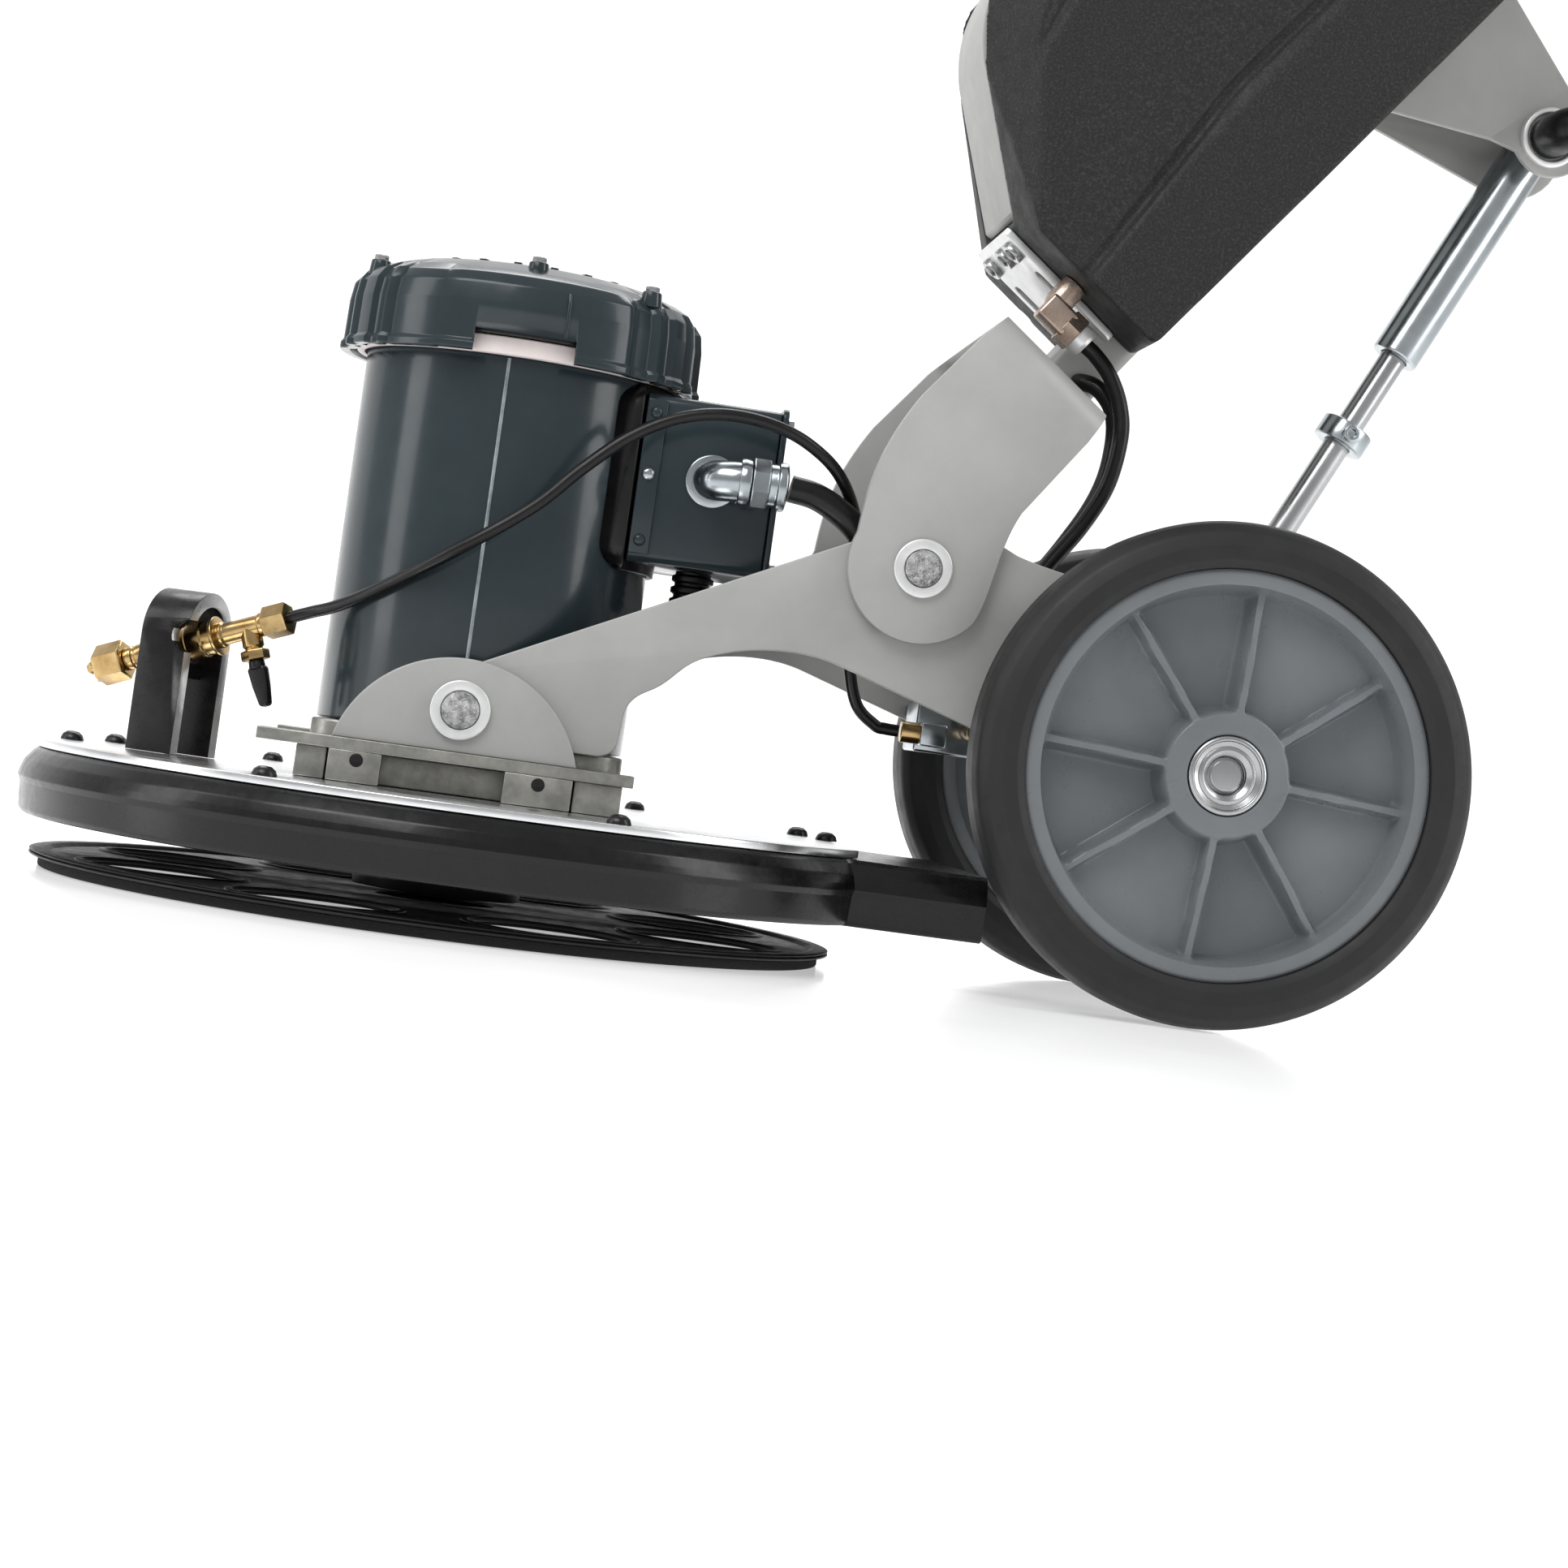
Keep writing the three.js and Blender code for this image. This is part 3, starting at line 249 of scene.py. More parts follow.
def rounded(points, radius, steps=4, closed=True):
    """The outline with each corner turned on an arc; a point may carry its own radius as a third number."""
    out = []
    count = len(points)
    for i, point in enumerate(points):
        here = Vector(point[:2])
        r = point[2] if len(point) > 2 else radius
        if not closed and i in (0, count - 1) or r <= 0:
            out.append(here)
            continue
        before = Vector(points[i - 1][:2]) - here
        after = Vector(points[(i + 1) % count][:2]) - here
        if before.length < 1e-9 or after.length < 1e-9:
            out.append(here)
            continue
        angle = before.angle(after, PI)
        if angle > PI - 0.03 or angle < 0.03:
            out.append(here)
            continue
        reach = min(r / math.tan(angle / 2), before.length * 0.49, after.length * 0.49)
        real = reach * math.tan(angle / 2)
        a, b = here + before.normalized() * reach, here + after.normalized() * reach
        centre = here + (before.normalized() + after.normalized()).normalized() * (real / math.sin(angle / 2))
        va, vb = a - centre, b - centre
        turn = va.angle_signed(vb, 0)
        for k in range(steps + 1):
            w = -turn * k / steps
            out.append(centre + Vector((va.x * math.cos(w) - va.y * math.sin(w),
                                        va.x * math.sin(w) + va.y * math.cos(w))))
    return [(p.x, p.y) for p in out]


def arc(cx, cy, r, start, stop, steps=24):
    return [(cx + r * math.cos(RAD(start + (stop - start) * k / steps)),
             cy + r * math.sin(RAD(start + (stop - start) * k / steps))) for k in range(steps + 1)]


def curve_through(points, steps=8):
    """Catmull-Rom through 3-D points."""
    p = [Vector(q) for q in points]
    p = [p[0] * 2 - p[1]] + p + [p[-1] * 2 - p[-2]]
    out = []
    for i in range(1, len(p) - 2):
        for k in range(steps):
            t = k / steps
            a, b, c, d = p[i - 1], p[i], p[i + 1], p[i + 2]
            out.append(0.5 * ((2 * b) + (c - a) * t + (2 * a - 5 * b + 4 * c - d) * t * t
                              + (3 * b - a - 3 * c + d) * t ** 3))
    out.append(p[-2])
    return out


def smooth_mesh(mesh, angle):
    mesh.shade_smooth()
    mesh.set_sharp_from_angle(angle=RAD(angle))


def new_piece(name, bm, mat, at=IDENTITY, angle=35, bevel=0, segments=2, bevel_angle=32):
    """A mesh object in metres, from a bmesh drawn in millimetres."""
    bmesh.ops.recalc_face_normals(bm, faces=bm.faces)
    bmesh.ops.transform(bm, matrix=at @ Matrix.Scale(MM, 4), verts=bm.verts)
    mesh = bpy.data.meshes.new(name)
    bm.to_mesh(mesh)
    bm.free()
    obj = bpy.data.objects.new(name, mesh)
    bpy.context.scene.collection.objects.link(obj)
    mesh.materials.append(M[mat])
    if bevel:
        mod = obj.modifiers.new("edges", "BEVEL")
        mod.width = bevel * MM
        mod.segments = segments
        mod.limit_method = "ANGLE"
        mod.angle_limit = RAD(bevel_angle)
        bake(obj)
    smooth_mesh(obj.data, angle)
    return obj


def bake(obj):
    """Applies the object's modifiers."""
    graph = bpy.context.evaluated_depsgraph_get()
    mesh = bpy.data.meshes.new_from_object(obj.evaluated_get(graph), preserve_all_data_layers=True,
                                           depsgraph=graph)
    old = obj.data
    obj.modifiers.clear()
    obj.data = mesh
    bpy.data.meshes.remove(old)


def merge(name, parts):
    """One object from several meshes that share their materials' order."""
    slots = []
    bm = bmesh.new()
    for part in parts:
        lookup = []
        for mat in part.data.materials:
            if mat not in slots:
                slots.append(mat)
            lookup.append(slots.index(mat))
        first = len(bm.faces)
        bm.from_mesh(part.data)
        bm.faces.ensure_lookup_table()
        for face in bm.faces[first:]:
            face.material_index = lookup[face.material_index]
        bpy.data.objects.remove(part)
    mesh = bpy.data.meshes.new(name)
    bm.to_mesh(mesh)
    bm.free()
    for mat in slots:
        mesh.materials.append(mat)
    obj = bpy.data.objects.new(name, mesh)
    bpy.context.scene.collection.objects.link(obj)
    return obj


def axis_matrix(origin, direction):
    """Local Z along the direction, from the origin (mm)."""
    z = Vector(direction).normalized()
    quat = Vector((0, 0, 1)).rotation_difference(z)
    return Matrix.Translation(Vector(origin) * MM) @ quat.to_matrix().to_4x4()


def lathe(name, profile, mat, at=IDENTITY, round_by=0.6, steps=96, angle=35, wobble=None):
    """A profile of (radius, height) turned about local Z, and closed unless it starts on the axis.

    wobble(a, r, z) may move the radius."""
    closed = profile[0][0] > 1e-6
    line = rounded(profile, round_by, 3, closed) if round_by else [p[:2] for p in profile]
    bm = bmesh.new()
    rows = []
    for r, z in line:
        if r < 1e-6:
            rows.append([bm.verts.new((0, 0, z))])
            continue
        row = []
        for k in range(steps):
            a = 2 * PI * k / steps
            rr = r + (wobble(a, r, z) if wobble else 0)
            row.append(bm.verts.new((rr * math.cos(a), rr * math.sin(a), z)))
        rows.append(row)
    pairs = list(zip(rows, rows[1:])) + ([(rows[-1], rows[0])] if closed else [])
    for lower, upper in pairs:
        for k in range(steps):
            j = (k + 1) % steps
            ring = [lower[k % len(lower)], lower[j % len(lower)], upper[j % len(upper)],
                    upper[k % len(upper)]]
            ring = [v for i, v in enumerate(ring) if v not in ring[:i]]
            if len(ring) > 2:
                bm.faces.new(ring)
    return new_piece(name, bm, mat, at, angle)


def plate(name, outline, low, high, mat, at=IDENTITY, holes=(), edge=0.5, plane="XZ", segs=2):
    """A flat shape with rounded edges. XZ: from y=low to y=high; XY: in height; YZ: along X."""
    curve = bpy.data.curves.new(name, "CURVE")
    curve.dimensions = "2D"
    curve.fill_mode = "BOTH"
    curve.extrude = (high - low) / 2 - edge
    curve.bevel_depth = edge
    curve.bevel_resolution = segs
    curve.offset = -edge
    for shape in (outline, *holes):
        spline = curve.splines.new("POLY")
        spline.points.add(len(shape) - 1)
        for point, (x, y) in zip(spline.points, shape):
            point.co = (x, y, 0, 1)
        spline.use_cyclic_u = True
    obj = bpy.data.objects.new(name, curve)
    bpy.context.scene.collection.objects.link(obj)
    graph = bpy.context.evaluated_depsgraph_get()
    mesh = bpy.data.meshes.new_from_object(obj.evaluated_get(graph))
    bpy.data.objects.remove(obj)
    bm = bmesh.new()
    bm.from_mesh(mesh)
    bpy.data.meshes.remove(mesh)
    bmesh.ops.remove_doubles(bm, verts=bm.verts, dist=0.001)
    middle = (low + high) / 2
    for v in bm.verts:
        x, y, z = v.co
        v.co = {"XZ": (x, middle - z, y), "XY": (x, y, middle + z), "YZ": (middle + z, x, y)}[plane]
    return new_piece(name, bm, mat, at)


def block(name, x0, x1, y0, y1, z0, z1, mat, at=IDENTITY, edge=0.8, segments=3):
    bm = bmesh.new()
    bmesh.ops.create_cube(bm, size=1)
    for v in bm.verts:
        v.co = ((x0 + x1) / 2 + v.co.x * (x1 - x0), (y0 + y1) / 2 + v.co.y * (y1 - y0),
                (z0 + z1) / 2 + v.co.z * (z1 - z0))
    return new_piece(name, bm, mat, at, bevel=edge, segments=segments)


def tube(name, points, radius, mat, at=IDENTITY, sides=20):
    """A round section carried along a polyline, closed at both ends."""
    p = [Vector(q) for q in points]
    bm = bmesh.new()
    rows = []
    normal = None
    for i, here in enumerate(p):
        tangent = (p[min(i + 1, len(p) - 1)] - p[max(i - 1, 0)]).normalized()
        if normal is None:
            normal = tangent.orthogonal().normalized()
        normal = (normal - tangent * normal.dot(tangent)).normalized()
        side = tangent.cross(normal)
        row = []
        for k in range(sides):
            a = 2 * PI * k / sides
            row.append(bm.verts.new(here + (normal * math.cos(a) + side * math.sin(a)) * radius))
        rows.append(row)
    for a, b in zip(rows, rows[1:]):
        for k in range(sides):
            j = (k + 1) % sides
            bm.faces.new((a[k], a[j], b[j], b[k]))
    bm.faces.new(rows[0])
    bm.faces.new(rows[-1])
    return new_piece(name, bm, mat, at, 50)


def prism(name, sides, r, z0, z1, mat, at=IDENTITY, turn=0.0, edge=0.6):
    """A nut's shape along local Z; r is to the corners."""
    angles = [2 * PI * k / sides + turn for k in range(sides)]
    outline = [(r * math.cos(a), r * math.sin(a)) for a in angles]
    return plate(name, outline, z0, z1, mat, at, edge=edge, plane="XY")


def boolean(obj, tool, kind="DIFFERENCE"):
    """Cuts the tool out of the object, or keeps what they share; the tool goes."""
    mod = obj.modifiers.new("cut", "BOOLEAN")
    mod.operation = kind
    mod.object = tool
    mod.solver = "EXACT"
    bake(obj)
    bpy.data.objects.remove(tool)


def reopened(obj, joined=False):
    """The object's mesh in millimetres again, its flat faces joined up on request; the object goes."""
    bm = bmesh.new()
    bm.from_mesh(obj.data)
    bpy.data.objects.remove(obj)
    if joined:
        bmesh.ops.remove_doubles(bm, verts=bm.verts, dist=1e-6)
        bmesh.ops.dissolve_limit(bm, angle_limit=RAD(1), verts=bm.verts, edges=bm.edges)
    for v in bm.verts:
        v.co /= MM
    return bm


def piece(obj, body, *nodes, slot):
    """Attaches a finished piece to its body and hides the CAD nodes that it stands for; its finish slot is
    not used.
    """
    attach(obj, body)
    if nodes:
        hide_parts(*nodes)


def whole(name, parts, body, *nodes, slot):
    """A piece made of several parts."""
    piece(merge(name, parts), body, *nodes, slot=slot)


def step(x, a, b):
    """0 before a, 1 after b, and a smooth rise between."""
    t = min(1, max(0, (x - a) / (b - a)))
    return t * t * (3 - 2 * t)


# ---------------------------------------------------------------- deck
DECK_R = 218
BASE_R = 214.2
TAIL_X = 268
TAIL_HALF = 93
CUT_X = 203


def disc_outline(r, cut):
    edge = math.degrees(math.acos(cut / r))
    return arc(0, 0, r, edge, 360 - edge, 180)


piece(plate("deck_top", disc_outline(DECK_R, CUT_X), 60, 64, "deck_bright", plane="XY", edge=0.5),
      "deck", "deck_plate", slot="deck_bright")

BAND = rounded([(0.3, 27.2, 1), (7.2, 25.6, 3), (9.6, 28.5, 2), (10.6, 41.5, 1), (12, 44.6, 1.6),
                (11.2, 48, 3),
                (9.6, 52.6, 5), (5.6, 57.6, 3), (3.2, 59.6, 0.6), (0.3, 59.6, 0.3)], 1, 4)


def bumper():
    """One band: along a tail side, round the deck and back along the other side."""
    bm = bmesh.new()
    rows = []
    for out, z in BAND:
        r, half = BASE_R + out, TAIL_HALF + out
        corner = math.degrees(math.asin(half / r))
        track = [(TAIL_X - (TAIL_X - r * math.cos(RAD(corner))) * k / 12, half) for k in range(12)]
        track += arc(0, 0, r, corner, 360 - corner, 220)
        track += [(x, -y) for x, y in reversed(track[:12])]
        rows.append([bm.verts.new((x, y, z)) for x, y in track])
    count = len(rows)
    for i in range(count):
        a, b = rows[i], rows[(i + 1) % count]
        for k in range(len(a) - 1):
            bm.faces.new((a[k], a[k + 1], b[k + 1], b[k]))
    bm.faces.new([row[0] for row in rows])
    bm.faces.new([row[-1] for row in rows])
    return new_piece("bumper_band", bm, "gloss_black", angle=40)


piece(bumper(), "deck", "bumper", slot="gloss_black")


def screw_dome(name, x, y, z, r=5.5, h=4.5, mat="black_paint", at=IDENTITY, direction=(0, 0, 1)):
    place = at @ axis_matrix((x, y, z), direction)
    return lathe(name, [(0, h), (r * 0.5, h * 0.93), (r * 0.86, h * 0.6), (r, h * 0.15), (r, 0), (0, 0)],
                 mat, place, round_by=0, steps=24, angle=45)


DECK_SCREWS = (176, 157, 243, 291, 23, 12, 60, 96, 122)
piece(merge("deck_screws", [screw_dome("s", 205 * math.cos(RAD(a)), 205 * math.sin(RAD(a)), 64, 6, 4.8)
                            for a in DECK_SCREWS]), "deck", slot="black_paint")

# motor foot block with its machined steps
foot = [(-81, -81), (79, -81), (79, 81), (-81, 81)]
adapter = [
    plate("foot_low", rounded(foot, 12, 6), 64.3, 79.6, "cast_grey", plane="XY", edge=0.8),
    plate("foot_high", rounded([(-80, -80.5), (78, -80.5), (78, 80.5), (-80, 80.5)], 16, 8), 79.9, 93.9,
          "cast_grey", plane="XY", edge=1.2),
]
whole("motor_foot", adapter, "deck", "motor_adapter", slot="cast_grey")

EAR_X, EAR_Z = -7, 107


def bracket(side, s):
    """The pivot plate on one side: base plate on stepped feet, and the round ear on it."""
    half = math.degrees(math.acos(16 / 63))
    ear = arc(EAR_X, 70, 63, 90 - half, 90 + half, 60)
    parts = [block("b", -104, 83, *sorted((81.8 * s, 105 * s)), 80, 86, "cast_grey", edge=0.5)]
    for x0, x1, outer in ((-68, -42, 105), (19, 53, 105), (-84, -69, 101), (54, 78, 101)):
        parts.append(block("b", x0, x1, *sorted((81.8 * s, outer * s)), 64.3, 80, "cast_grey", edge=0.6))
    parts.append(plate("e", ear, *sorted((91.8 * s, 99 * s)), "frame_paint", edge=0.9))
    for x in (-54, 36):
        parts.append(lathe("h", [(0, 0.5), (2.6, 0.5), (3.4, 0.2), (3.4, -3), (0, -3)], "black_paint",
                           axis_matrix((x, 105 * s, 75.5), (0, s, 0)), 0, 20))
    return merge("pivot_plate_" + side, parts)


for side, s in SIDES:
    piece(bracket(side, s), "deck", "pivot_bracket_" + side, slot="frame_paint")


def pivot_end(name, x, z, s, inner, outer=99.3):
    """Washer and the sawn end of a pivot pin, on one side of the machine."""
    pin = lathe("p", [(0, outer + 4.4), (7.6, outer + 4.4), (9.4, outer + 3.2), (9.4, inner), (0, inner)],
                "bolt_end",
                axis_matrix((x, 0, z), (0, s, 0)), 0.4, 48)
    ring = lathe("w", [(9.6, outer), (15, outer), (15, outer + 2.6), (9.6, outer + 2.6)], "washer",
                 axis_matrix((x, 0, z), (0, s, 0)), 0.7, 64)
    return merge(name, [pin, ring])


for side, s in SIDES:
    piece(pivot_end("ear_pin_" + side, EAR_X, EAR_Z, s, 82.6), "deck", "ear_bolt_" + side, slot="zinc")

# ---------------------------------------------------------------- motor
MOTOR_R = 80.5
barrel = lathe("barrel", [(16, 94.3), (MOTOR_R, 94.3, 1), (MOTOR_R, 291, 1), (12, 291), (12, 285),
                          (76.5, 285),
                          (76.5, 100), (16, 100)], "motor_paint", steps=160)
seam_x, seam_y = -MOTOR_R * math.sin(RAD(5)), -MOTOR_R * math.cos(RAD(5)) + 0.2
# The weld ridge takes the painted seam highlight colour instead of the enamel.
weld = tube("weld", [(seam_x, seam_y, 96 + 190 * k / 39) for k in range(40)], 1.0, "seam_painted_highlight", sides=8)
piece(merge("motor_barrel", [barrel, weld]), "deck", "motor_shell", slot="motor_paint")


def cover_radius(a, r, z):
    """The fan cover's side: a raised arched panel three times round, and narrow upright bosses between."""
    if r < 70:
        return 0
    share = min(1, max(0, (r - 70) / 16))
    deg = math.degrees(a) % 120
    raised = 1 - step(abs(deg - 31), 32, 36.5)
    raised *= step(331 - z - 0.009 * max(0, abs(deg - 31) - 14) ** 2, -1, 3)
    boss = 1 - step(abs(deg - 87.5), 3.6, 4.8)
    boss = max(boss, 1 - step(abs(abs(deg - 87.5) - 11), 1.0, 2.2))
    return -3.6 * share * (1 - max(raised, boss))


def fan_cover():
    shell = lathe("shell", [(0, 338.4, 0), (56, 337.4, 2), (66, 335.6, 2), (80, 331, 3), (88, 327, 4),
                            (92, 321.5, 4),
                            (93.4, 312, 6), (93.8, 292, 1.5), (95.2, 290, 0.8), (95.2, 286.6, 0.8),
                            (90, 286.6, 0.6),
                            (89, 292, 1), (88, 314, 3), (76, 324, 3), (0, 331, 0)],
                  "motor_paint", steps=360, wobble=cover_radius, angle=28)
    boolean(shell, block("w", -26, 25, -110, -70, 270, 298, "motor_paint", edge=0))
    a = RAD(281.8)
    rib = tube("rib", [(93.6 * math.cos(a), 93.6 * math.sin(a), z) for z in (298.6, 304, 310, 316)]
               + [(91.6 * math.cos(a), 91.6 * math.sin(a), 321)], 1.1, "motor_paint", sides=10)
    parts = [shell, rib]
    parts.append(lathe("cap", [(0, 339.6), (30, 339.2, 2), (44, 337.2, 1), (0, 336.8)], "motor_paint",
                       steps=96))
    for deg, radius, z in ((271, 66, 336), (200, 84, 330), (316, 84, 331), (31, 84, 330), (85, 66, 336),
                           (140, 84, 330)):
        a = RAD(deg)
        spot = Matrix.Translation((radius * math.cos(a) * MM, radius * math.sin(a) * MM, z * MM))
        parts.append(lathe("boss", [(0, 2), (5, 2, 1), (5.8, -6), (0, -6)], "motor_paint", spot, 0.4, 24))
        parts.append(prism("bolt", 6, 3.6, 1.6, 4.8, "steel", spot))
    for k in range(18):
        turn = Matrix.Rotation(2 * PI * k / 18, 4, "Z")
        parts.append(block("vent", 44, 55, -2, 2, 337.2, 338.4, "black_paint", turn, edge=0.3))
    return merge("motor_fan_cover", parts)


piece(fan_cover(), "deck", "fan_cover", slot="motor_paint")
louvre = lathe("louvre", [(82, 286.8), (86.2, 287, 1), (86.2, 296, 1), (82, 296.4)], "louvre_pale",
               steps=120)
piece(louvre, "deck", slot="deck_bright")
# A black ring just above the louvre, under the notch's top edge: painted shade that stands in for the shadow
# there.
shade = lathe("louvre_painted_shade", [(80.4, 296.5), (88.6, 296.5), (88.6, 299.6), (80.4, 299.6)], "black_paint",
              steps=120)
piece(shade, "deck", slot="black_paint")

# ---------------------------------------------------------------- junction box
def yz_rect(y0, y1, z0, z1, r):
    return rounded([(y0, z0), (y1, z0), (y1, z1), (y0, z1)], r, 5)


gasket_body = plate("gasket", yz_rect(-62.5, 40, 190, 286, 12), 46, 64.5, "rubber_black", plane="YZ",
                    edge=1.5)
gasket_curve = lathe("g2", [(80.8, 190), (84, 190), (84, 286), (80.8, 286)], "rubber_black", steps=160)
boolean(gasket_curve, block("g3", 60, 100, -55, 36, 180, 300, "rubber_black", edge=0), "INTERSECT")
hull = lathe("cut", [(0, 150), (80.8, 150), (80.8, 330), (0, 330)], "rubber_black", steps=160, round_by=0)
boolean(gasket_body, hull)
piece(merge("box_gasket", [gasket_body, gasket_curve]), "deck", "junction_gasket", slot="rubber_black")

shell = plate("box", yz_rect(-60, 38, 195, 282, 5), 66, 135.6, "motor_paint", plane="YZ", edge=1.0)
boolean(shell, lathe("cut", [(0, 150), (84.4, 150), (84.4, 330), (0, 330)], "motor_paint", steps=160,
                     round_by=0))
box_parts = [shell, block("strip", 66, 76.5, -62.3, -59.8, 199, 279, "motor_paint", edge=0.7)]
for z in (206, 272):
    box_parts.append(screw_dome("s", 71, -62.2, z, 3.2, 2.2, "motor_paint", direction=(0, -1, 0)))
box_parts.append(screw_dome("s", 71, -62.2, 240, 3.6, 2.6, "zinc", direction=(0, -1, 0)))
whole("terminal_box", box_parts, "deck", "junction_box", slot="motor_paint")

lid_parts = [plate("lid", yz_rect(-62, 40, 193, 284, 6), 136, 139, "motor_paint", plane="YZ", edge=0.8)]
for y in (-54, 32):
    for z in (201, 276):
        lid_parts.append(prism("n", 6, 4.2, 0, 3.4, "steel", axis_matrix((139, y, z), (1, 0, 0))))
whole("terminal_box_lid", lid_parts, "deck", "junction_cover", slot="motor_paint")

elbow_path = curve_through([(104, -62, 241), (104, -67.5, 241), (106.5, -73.5, 241), (113, -77.3, 241.4),
                            (122, -78, 242)], 8)
elbow = [
    tube("e", elbow_path, 10.4, "zinc", sides=40),
    lathe("f", [(8, 0), (14, 0), (14, 2.6, 1.2), (8, 3.2)], "zinc",
          axis_matrix((104, -60.3, 241), (0, -1, 0)), 0.8,
          48),
    lathe("c", [(8, 0), (12, 0), (12.4, 3), (12, 6), (8, 6)], "zinc",
          axis_matrix((116, -78, 241.7), (1, 0, 0)), 0.8,
          48),
    prism("n", 8, 13.4, 0, 9, "zinc", axis_matrix((122.4, -78, 242), (1, 0, 0)), PI / 8, 0.9),
    lathe("r", [(7.4, 9), (11.2, 9), (11.2, 13, 1), (12.6, 13.6), (12.6, 18, 1.5), (7.4, 19)], "zinc",
          axis_matrix((122.4, -78, 242), (1, 0, 0)), 0.6, 48),
]
whole("conduit_fitting", elbow, "deck", "conduit_elbow", slot="zinc")

plug_profile = [(0, 168), (7, 168, 1)]
for k in range(4):
    plug_profile += [(9.2, 170.5 + k * 6, 0.6), (11, 171.5 + k * 6, 0.6), (11, 174 + k * 6, 0.6),
                     (9.2, 175 + k * 6, 0.6)]
plug_profile += [(9.5, 194.6), (0, 194.6)]
piece(lathe("cable_gland", plug_profile, "rubber_black", Matrix.Translation((0.103, -0.034, 0)), 0.5, 40),
      "deck", "box_plug", slot="rubber_black")

# ---------------------------------------------------------------- spray nozzle
STRAP = Matrix.Translation((-0.152, -0.004, 0)) @ Matrix.Rotation(RAD(-24), 4, "Z")
NOZZLE = STRAP @ Matrix.Translation((0, 0, 0.1215)) @ Matrix.Rotation(RAD(70), 4, "Y")
STUB = NOZZLE @ Matrix.Translation((0, 0, 0.038)) @ Matrix.Rotation(RAD(-90), 4, "Y")

strap_line = [(-24.2, 64.3)] + arc(0, 125.5, 24.2, 180, 0, 32) + [(24.2, 64.3), (16.6, 64.3)] \
    + arc(0, 125.5, 16.6, 0, 180, 32) + [(-16.6, 64.3)]
strap = plate("strap", strap_line, -13, 13, "black_paint", STRAP, edge=0.35, plane="YZ")
boolean(strap, lathe("notch", [(0, 14), (8.4, 14), (8.4, 40), (0, 40)], "black_paint",
                     STRAP @ axis_matrix((13, 0, 125.6), (0, -1, 0)), 0, 48))
# The strap's two cut edges take the near-white painted highlight instead of the black paint.
strap.data.materials.append(M["edge_painted_highlight"])
normal_x = STRAP.to_3x3() @ Vector((1, 0, 0))
for poly in strap.data.polygons:
    if abs(poly.normal.dot(normal_x)) > 0.9:
        poly.material_index = 1
saddle = block("saddle", -2, 2, -16.8, 16.8, 104, 112, "black_paint", STRAP, edge=0.3)
piece(merge("nozzle_strap", [strap, saddle]), "deck", "spray_strap", slot="black_paint")

body_parts = [
    lathe("b0", [(0, -34.2), (6.2, -34.2), (6.2, -30), (5.4, -29.4), (5.4, -28), (6.2, -27.4), (6.2, -21),
                 (0, -21)],
          "brass", NOZZLE, 0.4, 40),
    lathe("b2", [(0, -22), (8.4, -22, 1), (8.4, -16), (9.6, -15), (9.6, -6), (8.6, -5), (8.6, 3), (9.6, 4),
                 (9.6, 12),
                 (8.8, 13), (8.8, 18.3), (0, 18.3)], "brass", NOZZLE, 0.5, 48),
    prism("b1", 6, 10.2, -14, -6.5, "brass", NOZZLE, 0.2, 0.9),
    lathe("b3", [(0, 18.2), (10.4, 18.2), (10.4, 20.2), (0, 20.2)], "brass", NOZZLE, 0.5, 48),
    lathe("b4", [(0, 20), (6.8, 20, 0.6), (6.8, 23), (5.7, 24), (5.7, 44), (6.4, 44.6), (6.4, 47.6),
                 (0, 47.6)],
          "brass", NOZZLE, 0.5, 48),
    prism("b5", 6, 8.8, 47, 60.8, "brass", NOZZLE, 0.35, 1.0),
    lathe("b6", [(0, 0), (5.6, 0), (5.6, -10, 0.8), (4.6, -11), (4.6, -12.4), (0, -12.4)], "brass", STUB,
          0.4, 36),
    prism("b7", 6, 7.4, -17.4, -12, "brass", STUB, 0.5, 0.9),
]
whole("nozzle_fitting", body_parts, "deck", "nozzle_body", slot="brass")
cap_parts = [
    prism("c0", 6, 10.8, -51, -34.6, "brass", NOZZLE, 0.2, 1.4),
    lathe("c1", [(0, -57.4), (2.6, -57.4), (3.6, -55.4), (3.8, -52), (8, -51.4), (8.4, -50), (0, -49)],
          "brass", NOZZLE,
          0.4, 32),
    block("c2", -8, 8, -1.1, 1.1, -53.4, -50.5, "brass", NOZZLE, 0.4),
    block("c3", -1.1, 1.1, -8, 8, -53.4, -50.5, "brass", NOZZLE, 0.4),
]
whole("nozzle_tip", cap_parts, "deck", "nozzle_cap", slot="brass")
tap_parts = [
    lathe("t0", [(0, -17.5), (4, -17.5), (4.4, -22), (0, -22)], "black_paint", STUB, 0.5, 28),
    plate("t1", rounded([(-5.2, -20.5), (5.2, -20.5), (4.8, -31), (3.6, -42), (-1.8, -42), (-4, -31)], 2.2,
                        5), -2.9, 2.9,
          "black_paint", STUB, edge=1.4),
]
whole("spray_tap_handle", tap_parts, "spray_tap", "spray_lever", slot="black_paint")

# ---------------------------------------------------------------- frame
TILT_X, TILT_Z, AXLE_X, AXLE_Z = 213, 210, 371, 127


def bezier(a, b, c, d, steps=10):
    out = []
    for k in range(1, steps + 1):
        t = k / steps
        u = 1 - t
        out.append(tuple(u ** 3 * a[i] + 3 * u ** 2 * t * b[i] + 3 * u * t * t * c[i] + t ** 3 * d[i]
                         for i in (0, 1)))
    return out


def quad(a, b, c, steps=8):
    return [tuple((1 - t) ** 2 * a[i] + 2 * (1 - t) * t * b[i] + t * t * c[i] for i in (0, 1))
            for t in (k / steps for k in range(1, steps + 1))]


